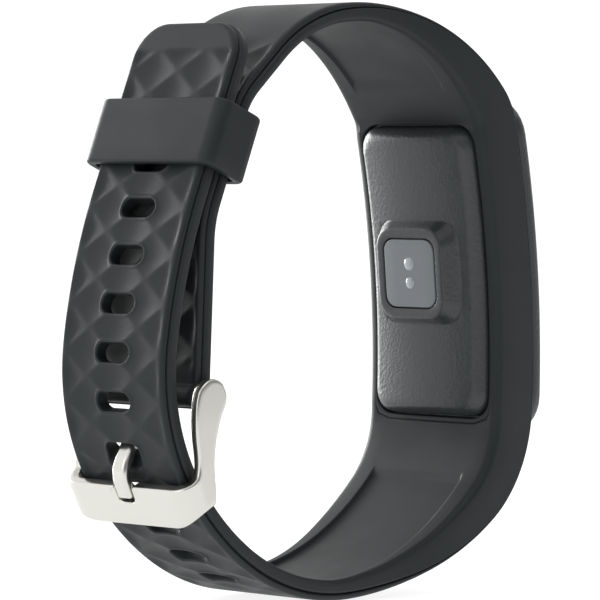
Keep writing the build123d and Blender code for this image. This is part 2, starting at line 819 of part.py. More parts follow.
def make_front_lens():
    return pod_block(lens_length, lens_width, lens_back, flange_rise, lens_corner)


def make_lens_adhesive():
    outer = pod_block(lens_length, lens_width, shelf_front, lens_back, lens_corner)
    inner = pod_block(
        room_length - 2 * glue_width + 0.2,
        room_width - 2 * glue_width + 0.2,
        -1,
        flange_rise,
        room_corner - 0.3,
    )
    return outer - inner


# ---------------------------------------------------------------- inside the pod
board_length = room_length - 2 * board_end_gap
board_width = room_width - 2 * board_side_gap
board_front = board_level + board_thickness / 2
board_back = board_level - board_thickness / 2
motor_along = battery_along + battery_size[0] / 2 + motor_gap + motor_radius
motor_place = (motor_along, 0, motor_level)


def make_display_panel():
    return flat_block(display_size, (display_along, 0, display_level), 0.6)


def make_display_flex():
    """The display's flat cable, from the panel's lower edge to the board."""
    edge = display_along - display_size[0] / 2
    high = display_level - display_size[2] / 4
    fall = high - board_front
    top = flat_block((flex_reach, flex_width, flex_thickness), (edge - flex_reach / 2, 0, high))
    turn = edge - flex_reach + flex_thickness / 2
    return top + flat_block((flex_thickness, flex_width, fall), (turn, 0, board_front + fall / 2))


def make_touch_electrode():
    """Copper pad behind the lens on a leg that stands on the board."""
    fall = electrode_level - board_front
    pad = flat_disc(electrode_radius, 0.1, (electrode_along, 0, electrode_level))
    leg = flat_block((electrode_leg, electrode_leg, fall), (electrode_along, 0, board_front + fall / 2))
    return pad + leg


def make_inner_frame():
    """Plate that carries the display, with a window for its cable and room for the posts and antenna."""
    length, width = board_length - 1.0, room_width - 1.0
    plate = flat_block((length, width, plate_thickness), (0, 0, plate_level), 1.5)
    window_along = display_along - display_size[0] / 2 - flex_window_back
    plate -= flat_block((*flex_window, 2.0), (window_along, 0, plate_level), 0.5)
    for side in (-1, 1):
        corner = (length / 2 - 0.6, side * (width / 2 - 0.5), plate_level)
        plate -= flat_block((*plate_corner_cut, 2.0), corner)
    return plate


def make_main_board():
    board = flat_block((board_length, board_width, board_thickness), (0, 0, board_level), 1.2)
    holes = []
    for side in (-1, 1):
        along, across = screw_place(side)
        board += flat_block((*board_tab, board_thickness), (along - side * 0.6, across, board_level))
        holes.append(flat_disc(screw_radius + screw_fit, 3, (along, across, board_level)))
    return board - holes


def make_board_screws():
    screws = []
    head_radius, head_height = screw_head
    for side in (-1, 1):
        head = flat_disc(head_radius, head_height, (*screw_place(side), board_back - head_height / 2))
        shank = flat_disc(
            screw_radius - screw_fit, screw_length, (*screw_place(side), board_back + screw_length / 2)
        )
        screws.append(head + shank)
    return Compound(children=screws)


def make_board_chips():
    """Processor, radio, accelerometer and charger, on the board's rear side."""
    packages = []
    for along, across, side in chips:
        middle = (along, across, board_back - chip_height / 2)
        packages.append(flat_block((side, side, chip_height), middle, chip_corner))
    return Compound(children=packages)


def make_antenna():
    """Stamped strip at the pod's top end, held against the screw post."""
    along, across = screw_place(1)
    length, thick = antenna_strip
    strip = flat_block((length, 2 * (across - post_radius), thick), (along, 0, antenna_level))
    foot_along = along + (length - antenna_foot[0]) / 2
    return strip + flat_block(antenna_foot, (foot_along, 4.0, antenna_level - antenna_foot[2] / 2))


def make_battery():
    return flat_block(battery_size, (battery_along, 0, battery_level), 1.2)


def make_battery_protection_board():
    end = battery_along - battery_size[0] / 2
    return flat_block(battery_board, (end - battery_board[0] / 2 - 0.1, 0, battery_level))


def make_battery_foam_pad():
    """Pad between the battery and the chips."""
    low = battery_level + battery_size[2] / 2
    high = board_back - chip_height
    return flat_block((*foam_size, high - low), (foam_along, 0, (low + high) / 2), 0.5)


def make_motor_case():
    shell = flat_disc(motor_radius, motor_height, motor_place)
    return shell - flat_disc(motor_radius - motor_wall, motor_height - 2 * motor_wall, motor_place)


def make_motor_shaft():
    return flat_disc(motor_shaft_radius, motor_height - 2 * motor_wall, motor_place)


def make_motor_rotor():
    """Half-round weight on a hub, which shakes the pod as it turns."""
    high = motor_height - 2 * (motor_wall + rotor_gap)
    half_room = motor_radius + 0.4
    weight = flat_disc(motor_radius - motor_wall - rotor_gap, high, motor_place)
    weight -= flat_block((2 * half_room, 2 * half_room, 4.0), (motor_along - half_room, 0, motor_level))
    hub = flat_disc(rotor_hub_radius, high, motor_place)
    return weight + hub - flat_disc(motor_shaft_radius + rotor_bore_fit, 4.0, motor_place)


# ---------------------------------------------------------------- heart-rate sensor
def dome_places():
    for side, radius in zip((1, -1), dome_radii):
        yield side * dome_spacing / 2, radius


def make_sensor_window():
    middle = window_level + window_thickness / 2
    window = flat_block((*window_size, window_thickness), (0, 0, middle), window_corner)
    for along, radius in dome_places():
        window -= flat_disc(radius + 0.02, 3.0, (along, 0, middle))
    return window


def make_sensor_domes():
    """Clear lenses over the light source and the photodiode."""
    domes = []
    for along, radius in dome_places():
        foot = window_level + window_thickness
        stem = flat_disc(radius, window_thickness, (along, 0, foot - window_thickness / 2))
        ball_radius = (radius**2 + dome_height**2) / (2 * dome_height)
        centre = pod_plane().offset(window_level - dome_height + ball_radius) * Pos(along, 0, 0)
        cap = (centre * Sphere(ball_radius)) & flat_disc(radius, 2.0, (along, 0, window_level - 1.0 + 0.001))
        domes.append(stem + cap)
    return Compound(children=domes)


def make_sensor_board():
    level = window_level + window_thickness + sensor_board_gap
    return flat_block(sensor_board_size, (0, 0, level + sensor_board_size[2] / 2), 1.5)


def make_sensor_dies():
    """Light source and photodiode on the sensor board."""
    level = window_level + window_thickness + sensor_board_gap - sensor_die[2] / 2
    dies = [flat_block(sensor_die, (along, 0, level)) for along, _ in dome_places()]
    return Compound(children=dies)


# ---------------------------------------------------------------- write every sub-part
def main():
    nodes = {
        "band": make_band(),
        "keeper": make_keeper(),
        "buckle_frame": make_buckle_frame(),
        "buckle_tongue": make_buckle_tongue(),
        "spring_bar_tube": make_bar_tube(),
        "spring_bar_pin_near": make_bar_pin(-1),
        "spring_bar_pin_far": make_bar_pin(1),
        "spring_bar_spring": make_bar_spring(),
        "front_housing": make_front_housing(),
        "front_lens": make_front_lens(),
        "lens_adhesive": make_lens_adhesive(),
        "display_panel": make_display_panel(),
        "display_flex": make_display_flex(),
        "touch_electrode": make_touch_electrode(),
        "inner_frame": make_inner_frame(),
        "main_board": make_main_board(),
        "board_chips": make_board_chips(),
        "board_screws": make_board_screws(),
        "antenna": make_antenna(),
        "battery": make_battery(),
        "battery_protection_board": make_battery_protection_board(),
        "battery_foam_pad": make_battery_foam_pad(),
        "motor_case": make_motor_case(),
        "motor_shaft": make_motor_shaft(),
        "motor_rotor": make_motor_rotor(),
        "housing_gasket": gasket_ring(),
        "rear_cover": make_rear_cover(),
        "sensor_window": make_sensor_window(),
        "sensor_domes": make_sensor_domes(),
        "sensor_board": make_sensor_board(),
        "sensor_dies": make_sensor_dies(),
        "charging_contacts": make_charging_contacts(),
    }
    os.makedirs("parts", exist_ok=True)
    for name, shape in nodes.items():
        export_step(shape, f"parts/{name}.step")


if __name__ == "__main__":
    main()
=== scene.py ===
"""Fitness tracker band: the visible pieces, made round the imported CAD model."""
import math

import bmesh
import bpy
import numpy as np
from mathutils import Matrix, Vector


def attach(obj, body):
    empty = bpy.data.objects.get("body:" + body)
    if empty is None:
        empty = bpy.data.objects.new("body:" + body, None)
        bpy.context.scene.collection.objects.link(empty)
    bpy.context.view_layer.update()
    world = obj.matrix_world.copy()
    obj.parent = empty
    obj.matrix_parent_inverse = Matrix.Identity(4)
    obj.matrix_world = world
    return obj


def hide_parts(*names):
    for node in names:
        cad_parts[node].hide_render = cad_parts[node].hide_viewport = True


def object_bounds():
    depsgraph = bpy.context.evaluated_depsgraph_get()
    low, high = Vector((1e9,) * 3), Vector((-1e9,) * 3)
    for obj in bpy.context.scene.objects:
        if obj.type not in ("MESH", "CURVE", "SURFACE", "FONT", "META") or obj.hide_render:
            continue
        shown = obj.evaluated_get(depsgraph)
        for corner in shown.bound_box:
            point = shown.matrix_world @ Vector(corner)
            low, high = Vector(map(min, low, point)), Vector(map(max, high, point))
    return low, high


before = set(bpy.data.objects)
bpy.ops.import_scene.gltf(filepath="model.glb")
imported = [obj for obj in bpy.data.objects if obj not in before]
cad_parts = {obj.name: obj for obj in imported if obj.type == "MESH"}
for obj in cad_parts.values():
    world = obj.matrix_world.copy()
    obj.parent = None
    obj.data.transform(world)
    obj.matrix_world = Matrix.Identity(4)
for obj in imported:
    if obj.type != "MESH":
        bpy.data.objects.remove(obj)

bl_info = {
    "name": "Fitness Tracker Band",
    "version": (1, 0, 0),
    "blender": (4, 5, 0),
    "location": "3D View > Sidebar > Tracker Band",
    "description": "Makes a fitness tracker in a silicone band with a steel pin buckle",
    "category": "Add Mesh",
}

CAD_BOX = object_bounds()
MM = 0.001

# ------------------------------------------------------------------ sizes shared with the CAD, in mm
FRAME_RADIUS = 140.0
FRAME_CENTRE = (-107.6, -9.5)
POD_ANGLE = math.asin((4.2 - FRAME_CENTRE[1]) / FRAME_RADIUS)
FRAME_ARC = 18.7
FRAME_DEPTH = 7.2
TAIL_THICKNESS = 2.6
ARM_THICKNESS = 2.4
THINNING = (46.0, 31.0)
HALF_STRAP = 9.1
HALF_FRAME = 11.35
NARROWING = (27.0, -3.0)
TIP_CORNER = 5.0

# The outer line from the tail's tip round to the spring bar, as (radius, length); radius 0 is straight.
HOLED_ARM = (
    (0, 22.6853), (73.5, 18.6166), (26.0, 19.0053), (35.1, 15.3153),
    (31.6, 18.5312), (45.1, 26.3693), (18.2, 16.3907),
)
BUCKLE_ARM = (
    (10.0, 5.236), (32.5, 30.4036), (22.4, 13.6834), (0, 6.0),
    (11.0, 4.9917), (0, 11.5), (15.0, 5.236), (0, 18.8),
)
HOLED_LENGTH = sum(run for _, run in HOLED_ARM)
POD_MIDDLE = HOLED_LENGTH + FRAME_ARC
ARM_START = POD_MIDDLE + FRAME_ARC
BAR_PLACE = ARM_START + sum(run for _, run in BUCKLE_ARM)
BAR = (-26.155, -10.994)
BAR_INSET = 0.9
BULB_RADIUS = 1.75

SLOT_PITCH = 6.0
SLOT_HALF = (1.2, 2.8)
SLOT_USED = HOLED_LENGTH - 82.1913
# Half sizes, corner and slant of the slot that the tongue stretches.
USED_SLOT = ((1.73, SLOT_HALF[1]), 1.2, 1.04)
SLOTS_TO_TIP = 6
SLOTS_TO_POD = 4

POD_HALF = (20.5, 10.0)
POD_ROOM = ((20.6, 10.1), 3.3)      # half sizes and corner of the room in the band
POD_LIP = ((20.15, 9.75), 2.85)     # the same for the opening inside the rear lip
ROOM_RIM, LIP_RIM, LIP_DEPTH = 0.15, 0.2, 6.1
COVER_HALF = (19.9, 9.5)
COVER_CORNER = 2.85
COVER_STAND = 1.1
CROWN = 1.5
BUMP_HEIGHT = 1.45
BUMP_LEVEL = FRAME_DEPTH + COVER_STAND + CROWN + BUMP_HEIGHT
# Each lens's place along the pod and its radius.
DOMES = ((1.25, 0.83), (-1.25, 0.73))
DOME_FOOT, DOME_HEIGHT = 0.6, 0.22
SPLIT_DEPTH = 4.7
FLANGE_HALF = (22.1, 11.1)
FLANGE_RISE = 2.0
LENS_HALF = (21.2, 10.2)

KEEPER_MIDDLE = (-22.537, 19.742)
KEEPER_HALF = 4.25
KEEPER_DOWN = (-0.376728, -0.926324)
CROSSBAR = (-28.3528, -23.733)
CROSSBAR_UP = (-0.462304, 0.886722)
CROSSBAR_OUT = (-0.886722, -0.462304)
TONGUE_BEND = (-30.844, -20.103)
TONGUE_TIP = (-30.066, -22.935)


# ------------------------------------------------------------------ settings
def paint(code):
    """An sRGB hex colour as linear RGBA."""
    parts = [int(code[i:i + 2], 16) / 255 for i in (1, 3, 5)]
    linear = [c / 12.92 if c <= 0.04045 else ((c + 0.055) / 1.055) ** 2.4 for c in parts]
    return (*linear, 1.0)


def colour(name, description, code):
    """A colour setting."""
    return bpy.props.FloatVectorProperty(
        name=name, description=description, default=paint(code), size=4, subtype="COLOR", min=0, max=1
    )


def length(name, description, size):
    """A length setting, given in mm."""
    return bpy.props.FloatProperty(
        name=name, description=description, default=size * MM, unit="LENGTH", min=0, precision=5
    )


class TrackerSizes(bpy.types.PropertyGroup):
    """Sizes of the moulded detail."""

    diamond_length: length("Diamond length", "Length of one dimple, along the strap", 6.0)
    diamond_width: length("Diamond width", "Width of one dimple, across the strap", 8.3)
    dimple_depth: length("Dimple depth", "Depth of each dimple below its ridges", 0.36)
    field_depth: length("Field depth", "How far the dimpled field lies below the plain tip", 0.06)
    recess_depth: length("Recess depth", "Deepest part of the channel inside the strap", 0.6)
    slot_rim: length("Slot rim", "Rounding of the slots' edges", 0.3)
    steel_edge: length("Steel edge", "Rounding of the buckle's edges", 0.32)


class TrackerColours(bpy.types.PropertyGroup):
    """Colours of the finishes."""

    silicone: colour("Silicone", "Band and keeper", "#1d2224")
    shell: colour("Pod shell", "Textured plastic of the pod", "#34383a")
    steel: colour("Steel", "Buckle and tongue", "#d6d5cf")
    window: colour("Sensor window", "Smooth plastic round the lenses", "#70767b")
    glass: colour("Front glass", "Front of the pod", "#08090a")
    floor: colour("Floor", "Studio floor and backdrop", "#8e8e8d")


# ------------------------------------------------------------------ nodes
CLOUD_SIZE = 6.0                # size in mm of the slow drift in every finish's colour and roughness
FINE_SHARE = 0.6                # how much of the colour's change comes from the grain and not from the drift


def add(tree, kind, settings=None, inputs=None):
    """Add a node, with its settings, and each input set or linked."""
    made = tree.nodes.new(kind)
    for key, value in (settings or {}).items():
        setattr(made, key, value)
    for key, value in (inputs or {}).items():
        if isinstance(value, bpy.types.NodeSocket):
            tree.links.new(value, made.inputs[key])
        else:
            made.inputs[key].default_value = value
    return made


def finish(name, base, rough, metallic=0.0, ior=1.5, grain=0.2, bump=0.2, mottle=0.06, depth=0.02,
           pattern="noise", rough_swing=0.05, extra=None):
    """A procedural finish: grain is the pattern's size in mm and depth the relief's, also in mm.

    The colour and roughness wander a little at a size well above the grain, as on a real moulding.
    """
    made = bpy.data.materials.new(name)
    made.use_nodes = True
    tree = made.node_tree
    tree.nodes.clear()
    where = add(tree, "ShaderNodeTexCoord").outputs["Object"]
    cloud = add(tree, "ShaderNodeTexNoise", None,
                {"Vector": where, "Scale": 1 / (CLOUD_SIZE * MM), "Detail": 3.0}).outputs[0]
    kind, settings, inputs = "ShaderNodeTexNoise", None, {"Detail": 2.0, "Roughness": 0.6}
    if pattern == "cells":
        kind, settings = "ShaderNodeTexVoronoi", {"feature": "SMOOTH_F1"}
        inputs = {"Smoothness": 0.6, "Randomness": 1.0}
    if pattern == "brushed":
        where = add(tree, "ShaderNodeMapping", None, {"Vector": where, "Scale": (1.0, 0.04, 1.0)}).outputs[0]
        inputs = {"Detail": 2.0}
    fine = add(tree, kind, settings, {"Vector": where, "Scale": 1 / (grain * MM), **inputs}).outputs[0]
    dark = tuple(c * (1 - mottle * 2) for c in base[:3]) + (1.0,)
    light = tuple(min(1.0, c * (1 + mottle * 2)) for c in base[:3]) + (1.0,)
    part = add(tree, "ShaderNodeMath", {"operation": "MULTIPLY"}, {0: fine, 1: FINE_SHARE}).outputs[0]
    blend = add(tree, "ShaderNodeMath", {"operation": "MULTIPLY_ADD"}, {0: cloud, 1: 1 - FINE_SHARE, 2: part})
    ramp = add(tree, "ShaderNodeMix", {"data_type": "RGBA"},
               {"Factor": blend.outputs[0], "A": dark, "B": light})
    swing = add(tree, "ShaderNodeMapRange", None, {
        "Value": cloud, "From Min": 0.3, "From Max": 0.7,
        "To Min": rough - rough_swing, "To Max": rough + rough_swing})
    relief = add(tree, "ShaderNodeBump", None, {"Strength": bump, "Distance": depth * MM, "Height": fine})
    shader = add(tree, "ShaderNodeBsdfPrincipled", None, {
        "Base Color": ramp.outputs[2], "Roughness": swing.outputs[0], "Metallic": metallic,
        "Normal": relief.outputs[0]})
    if metallic < 0.5:
        shader.inputs["IOR"].default_value = ior
    for key, value in (extra or {}).items():
        shader.inputs[key].default_value = value
    add(tree, "ShaderNodeOutputMaterial", None, {"Surface": shader.outputs[0]})
    return made


FINISHES = {}


def material(name):
    """The finish called name, made the first time it is asked for."""
    if name not in FINISHES:
        title, shade, rough, settings = RECIPES[name]
        base = paint(shade) if shade[0] == "#" else getattr(bpy.context.scene.tracker_colours, shade)
        FINISHES[name] = finish(title, base, rough, **settings)
    return FINISHES[name]


RECIPES = {
    # Liquid silicone rubber from a fine-blasted mould: soft and even, with a powdery grain. A blasted mould's
    # grain is finer than this; it is drawn coarser, so that it still shows.
    "silicone": ("Moulded silicone rubber", "silicone", 0.54, dict(ior=1.41, grain=0.2, bump=0.6, mottle=0.16,
        depth=0.03)),
    # ABS from a spark-eroded mould: a leathery skin of small soft cells that catches a broad light.
    "shell": ("Spark-textured ABS", "shell", 0.37, dict(ior=1.53, grain=0.42, bump=0.7, mottle=0.08,
        depth=0.045, pattern="cells")),
    # Bead-blasted and lightly polished stainless steel: bright, with soft reflections.
    "steel": ("Polished stainless steel", "steel", 0.24, dict(metallic=1.0, grain=0.12, bump=0.06,
        mottle=0.02, depth=0.004, rough_swing=0.03)),
    # Turned steel: bright, with fine lines round the axis.
    "turned": ("Turned steel", "#b9bab8", 0.28, dict(metallic=1.0, grain=0.08, bump=0.1, mottle=0.03,
        depth=0.004)),
    # Smooth moulded polycarbonate, loaded grey: an even satin face.
    "window": ("Grey polycarbonate", "window", 0.3, dict(ior=1.58, grain=0.5, bump=0.03, mottle=0.015,
        depth=0.003, rough_swing=0.02)),
    # Clear moulded lens over a pale diffuser: bright and glossy.
    "dome": ("Clear lens resin", "#aab0b5", 0.1, dict(ior=1.49, grain=0.4, bump=0.02, mottle=0.02,
        depth=0.002, rough_swing=0.02, extra={"Coat Weight": 0.5})),
    # Back-painted front glass: black and mirror smooth.
    "glass": ("Black front glass", "glass", 0.05, dict(ior=1.52, grain=1.0, bump=0.01, mottle=0.02,
        depth=0.002, rough_swing=0.01)),
    # Acrylic foam tape: dull black edge.
    "adhesive": ("Acrylic foam tape", "#1d1d1e", 0.75, dict(grain=0.1, bump=0.3, depth=0.01)),
    # Display glass with its black border: smooth and dark.
    "display": ("Display panel glass", "#11151b", 0.12, dict(grain=0.8, bump=0.02, depth=0.002,
        rough_swing=0.02)),
    # Polyimide flat cable: amber film with a soft gloss.
    "polyimide": ("Polyimide film", "#9a5a1c", 0.35, dict(ior=1.7, grain=0.5, bump=0.05)),
    # Etched copper: warm, slightly dulled metal.
    "copper": ("Etched copper", "#c5794f", 0.35, dict(metallic=1.0, grain=0.15, bump=0.1)),
    # Gold-plated brass pins: bright yellow metal.
    "gold": ("Gold-plated brass", "#d9b262", 0.2, dict(metallic=1.0, grain=0.1, bump=0.05)),
    # Glass-filled nylon frame: dull grey with short fibres showing.
    "nylon": ("Glass-filled nylon", "#3b3d40", 0.55, dict(grain=0.25, bump=0.25, depth=0.01,
        pattern="brushed")),
    # Solder mask over glass laminate: green, glossy, with a faint weave.
    "board": ("Circuit board laminate", "#1d4a33", 0.3, dict(grain=0.3, bump=0.12, mottle=0.1,
        pattern="cells")),
    # Transfer-moulded epoxy chip bodies: matt black.
    "chip": ("Epoxy chip body", "#191a1b", 0.6, dict(grain=0.08, bump=0.3)),
    # Aluminium laminate pouch: dull silver with shallow creases.
    "pouch": ("Laminate pouch", "#a9adb0", 0.38, dict(metallic=0.8, grain=1.4, bump=0.35, depth=0.05)),
    # Open-cell foam pad: dark and very matt.
    "foam": ("Urethane foam", "#2a2b2d", 0.9, dict(grain=0.22, bump=0.8, depth=0.05, pattern="cells")),
    # Nickel-plated steel can: soft silver.
    "nickel": ("Nickel-plated steel", "#b4b3ab", 0.3, dict(metallic=1.0, grain=0.15, bump=0.08)),
    # Silicone seal: plain dark rubber.
    "seal": ("Silicone seal rubber", "#3a3b3c", 0.6, dict(ior=1.41, grain=0.2, bump=0.2)),
}


# ------------------------------------------------------------------ building meshes, in mm
class Weave:
    """Collects the points and faces of one mesh, row by row."""

    def __init__(self):
        self.points = []
        self.marks = []
        self.faces = []
        self.count = 0

    def row(self, points, marks=None):
        """Add points and give their numbers."""
        points = np.asarray(points, float).reshape(-1, 3)
        self.points.append(points)
        self.marks.append(np.zeros((len(points), 6)) if marks is None else marks)
        numbers = np.arange(self.count, self.count + len(points))
        self.count += len(points)
        return numbers

    def skin(self, first, second, closed=True):
        """Faces between two rows of the same length."""
        last = len(first) if closed else len(first) - 1
        for i in range(last):
            j = (i + 1) % len(first)
            self.faces.append((first[i], first[j], second[j], second[i]))

    def loops(self, rows, closed=True):
        """Faces between each row and the next."""
        for first, second in zip(rows, rows[1:]):
            self.skin(first, second, closed)

    def cap(self, row):
        """One face over a small loop."""
        self.faces.append(tuple(row))

    def tube(self, rows):
        """Faces between rows, with a cap on each end."""
        self.loops(rows)
        self.cap(rows[0])
        self.cap(rows[-1])

    def slat_cap(self, row, steps):
        """Close a long rounded rectangle with slats across it, so that it keeps the curve along it."""
        count_a, count_b = steps
        far = [row[count_b + k] for k in range(count_a + 1)]
        near = [row[(2 * count_b + 2 * count_a - k) % len(row)] for k in range(count_a + 1)]
        self.skin(far, near, closed=False)
        self.cap(row[:count_b + 1])
        self.cap(row[count_b + count_a:2 * count_b + count_a + 1])

    def make(self, name, finish_name, sharp=50.0):
        """The mesh as an object, in metres, with its faces pointing outwards."""
        mesh = bpy.data.meshes.new(name)
        points = np.concatenate(self.points) * MM
        mesh.from_pydata(points.tolist(), [], [tuple(int(i) for i in face) for face in self.faces])
        work = bmesh.new()
        work.from_mesh(mesh)
        bmesh.ops.recalc_face_normals(work, faces=work.faces)
        work.to_mesh(mesh)
        work.free()
        mesh.polygons.foreach_set("use_smooth", [True] * len(mesh.polygons))
        mesh.set_sharp_from_angle(angle=math.radians(sharp))
        mesh.materials.append(material(finish_name))
        mesh.validate()
        made = bpy.data.objects.new(name, mesh)
        bpy.context.scene.collection.objects.link(made)
        return made


def side_places(straight, corner, count):
    """Evenly spaced places on one side of a rounded rectangle, corner middle to corner middle."""
    arc = corner * math.pi / 4
    run = np.arange(count) / count * (straight + 2 * arc) - (straight / 2 + arc)
    over = np.maximum(np.abs(run) - straight / 2, 0) / max(corner, 1e-9)
    along = np.sign(run) * (np.minimum(np.abs(run), straight / 2) + corner * np.sin(over))
    return along, corner * (1 - np.cos(over))


def rounded_loop(half_a, half_b, corner, count_a, count_b):
    """A rounded rectangle in (a, b), count_b steps on the sides across a and count_a on the others."""
    corner = max(min(corner, half_a, half_b), 1e-6)
    along_b, in_b = side_places(2 * (half_b - corner), corner, count_b)
    along_a, in_a = side_places(2 * (half_a - corner), corner, count_a)
    a = np.concatenate([in_b - half_a, along_a, half_a - in_b, -along_a])
    b = np.concatenate([along_b, half_b - in_a, -along_b, in_a - half_b])
    return a, b


def smooth(value, low, high):
    """0 below low, 1 above high, and eased between."""
    share = np.clip((value - low) / (high - low), 0, 1)
    return share * share * (3 - 2 * share)


# ------------------------------------------------------------------ the band's line
def pod_xyz(along, across, depth):
    """A place on the pod's curved frame; depth is outward from its front."""
    angle = POD_ANGLE + np.asarray(along, float) / FRAME_RADIUS
    reach = FRAME_RADIUS + depth
    return np.stack(np.broadcast_arrays(
        FRAME_CENTRE[0] + reach * np.cos(angle), across, FRAME_CENTRE[1] + reach * np.sin(angle)), -1)


def flat_xyz(along, across, depth):
    """A place on the flat plane at the middle of the pod."""
    base = pod_xyz(0.0, 0.0, 0.0)
    up = np.array([-math.sin(POD_ANGLE), 0, math.cos(POD_ANGLE)])
    out = np.array([math.cos(POD_ANGLE), 0, math.sin(POD_ANGLE)])
    along, across, depth = np.broadcast_arrays(
        np.asarray(along, float), np.asarray(across, float), np.asarray(depth, float))
    return base + along[..., None] * up + across[..., None] * np.array([0, 1, 0]) + depth[..., None] * out


def march(x, z, heading, run, bend):
    """Move along an arc or a straight line."""
    if not bend:
        return x + run * math.cos(heading), z + run * math.sin(heading), heading
    turned = heading + run * bend
    return (x + (math.sin(turned) - math.sin(heading)) / bend,
            z - (math.cos(turned) - math.cos(heading)) / bend, turned)


def line_pieces():
    """Start place, X, Z, heading and bend of each arc, from the tail's tip to past the spring bar."""
    anchor = pod_xyz(-FRAME_ARC, 0.0, 0.0)
    here = (anchor[0], anchor[2], POD_ANGLE - FRAME_ARC / FRAME_RADIUS + math.pi / 2)
    pieces = []
    spot, place = here, HOLED_LENGTH
    for radius, run in reversed(HOLED_ARM):
        bend = 1 / radius if radius else 0.0
        spot = march(*spot, -run, bend)
        place -= run
        pieces.insert(0, (place, *spot, bend))
    spot, place = here, HOLED_LENGTH
    for radius, run in ((FRAME_RADIUS, 2 * FRAME_ARC), *BUCKLE_ARM):
        bend = 1 / radius if radius else 0.0
        pieces.append((place, *spot, bend))
        spot = march(*spot, run, bend)
        place += run
    return np.array(pieces)


LINE = line_pieces()


def trace(along):
    """X, Z and heading on the outer line."""
    along = np.asarray(along, float)
    number = np.clip(np.searchsorted(LINE[:, 0], along, side="right") - 1, 0, len(LINE) - 1)
    start, x, z, heading, bend = (LINE[number, i] for i in range(5))
    run = along - start
    safe = np.where(bend == 0, 1.0, bend)
    turned = heading + run * bend
    arc_x = x + (np.sin(turned) - np.sin(heading)) / safe
    arc_z = z - (np.cos(turned) - np.cos(heading)) / safe
    straight = bend == 0
    return (np.where(straight, x + run * np.cos(heading), arc_x),
            np.where(straight, z + run * np.sin(heading), arc_z), turned)


def strap_xyz(along, across, depth):
    """A place in the band: along its line, across it, and in from its outer face."""
    x, z, heading = trace(along)
    return np.stack(np.broadcast_arrays(x - depth * np.sin(heading), across, z + depth * np.cos(heading)), -1)


def from_pod(along):
    """Distance along the arms from the ends of the frame's arc."""
    return np.where(along < POD_MIDDLE, HOLED_LENGTH - along, along - ARM_START)


def thickness(along):
    """Plain thickness of the band at a place."""
    holed = along < POD_MIDDLE
    share = np.clip(from_pod(along) / np.where(holed, THINNING[0], THINNING[1]), 0, 1)
    eased = 0.5 * share + 0.25 * (1 - np.cos(math.pi * share))
    thin = np.where(holed, TAIL_THICKNESS, ARM_THICKNESS)
    return thin + (FRAME_DEPTH - thin) * (1 - eased)


def half_width(x):
    """Half the strap's width at an X."""
    wide, narrow = NARROWING
    reach, step = (wide - narrow) / 2, (HALF_FRAME - HALF_STRAP) / 2
    bend = (reach**2 + step**2) / (2 * step)
    from_wide = np.clip(wide - x, 0, reach)
    from_narrow = np.clip(x - narrow, 0, reach)
    outer = HALF_FRAME - (bend - np.sqrt(bend**2 - from_wide**2))
    inner = HALF_STRAP + (bend - np.sqrt(bend**2 - from_narrow**2))
    return np.where(x > (wide + narrow) / 2, outer, inner)


def bulb(along):
    """How far the round end at the spring bar reaches to each side of the bar."""
    return np.sqrt(np.maximum(BULB_RADIUS**2 - (along - BAR_PLACE) ** 2, 0))


def outer_depth(along):
    """Depth of the outer face: 0, but for the bulb at the bar."""
    return np.minimum(0.0, BAR_INSET - bulb(along))


def inner_depth(along):
    """Depth of the inner face before its channel is sunk."""
    return np.maximum(np.where(along > BAR_PLACE + 0.6, 0.0, thickness(along)), BAR_INSET + bulb(along))


# ------------------------------------------------------------------ the band
STEPS = 20                  # mesh steps in one slot pitch, and in the width of one diamond
CELL_HALF = 4.15            # half the width of the patch round each slot
EDGE_INSET = 0.75           # from the strap's edge to where its flat face starts
BAR_END = BAR_PLACE + 1.45
BAR_CORNER = 1.2
USED_REACH = 3.9            # patch round the slot in use, to each side of its middle
POD_PATCH = (HOLED_LENGTH - 5.0, ARM_START + 6.6)
COARSE = 0.8                # step where the strap is plain
BAR_STEP = 0.15             # step round the spring bar's bulb
CLOSE = 0.1                 # two places nearer than this are the same
QUARTER = math.pi / 2
INNER_EDGE = 0.85           # depth of the rounded inner edge, as a share of its width
# The groove in the strap's edge: its inset near the pod, what the tier adds, and its depth.
GROOVE = ((0.02, 0.25, 0.68), (0.06, 0.3, 0.76), (0.12, 0.42, 0.86), (0.1, 0.24, 0.96), (0.03, 0.05, 1.06),
          (0.0, 0.0, 1.2))


def spread(first, last, step):
    """Evenly spaced places from first up to, not with, last."""
    count = max(1, round((last - first) / step))
    return first + (last - first) * np.arange(count) / count


def slot_places():
    """Middle of each slot, tip first."""
    return [SLOT_USED + number * SLOT_PITCH for number in range(-SLOTS_TO_TIP, SLOTS_TO_POD + 1)]


def slot_cell(place):
    """Where the patch round a slot starts and stops; the slot in use takes more than its pitch."""
    start, stop = place - SLOT_PITCH / 2, place + SLOT_PITCH / 2
    reach = abs(place - SLOT_USED)
    if reach < CLOSE:
        return place - USED_REACH, place + USED_REACH
    if reach < SLOT_PITCH + CLOSE:
        return (SLOT_USED + USED_REACH, stop) if place > SLOT_USED else (start, SLOT_USED - USED_REACH)
    return start, stop


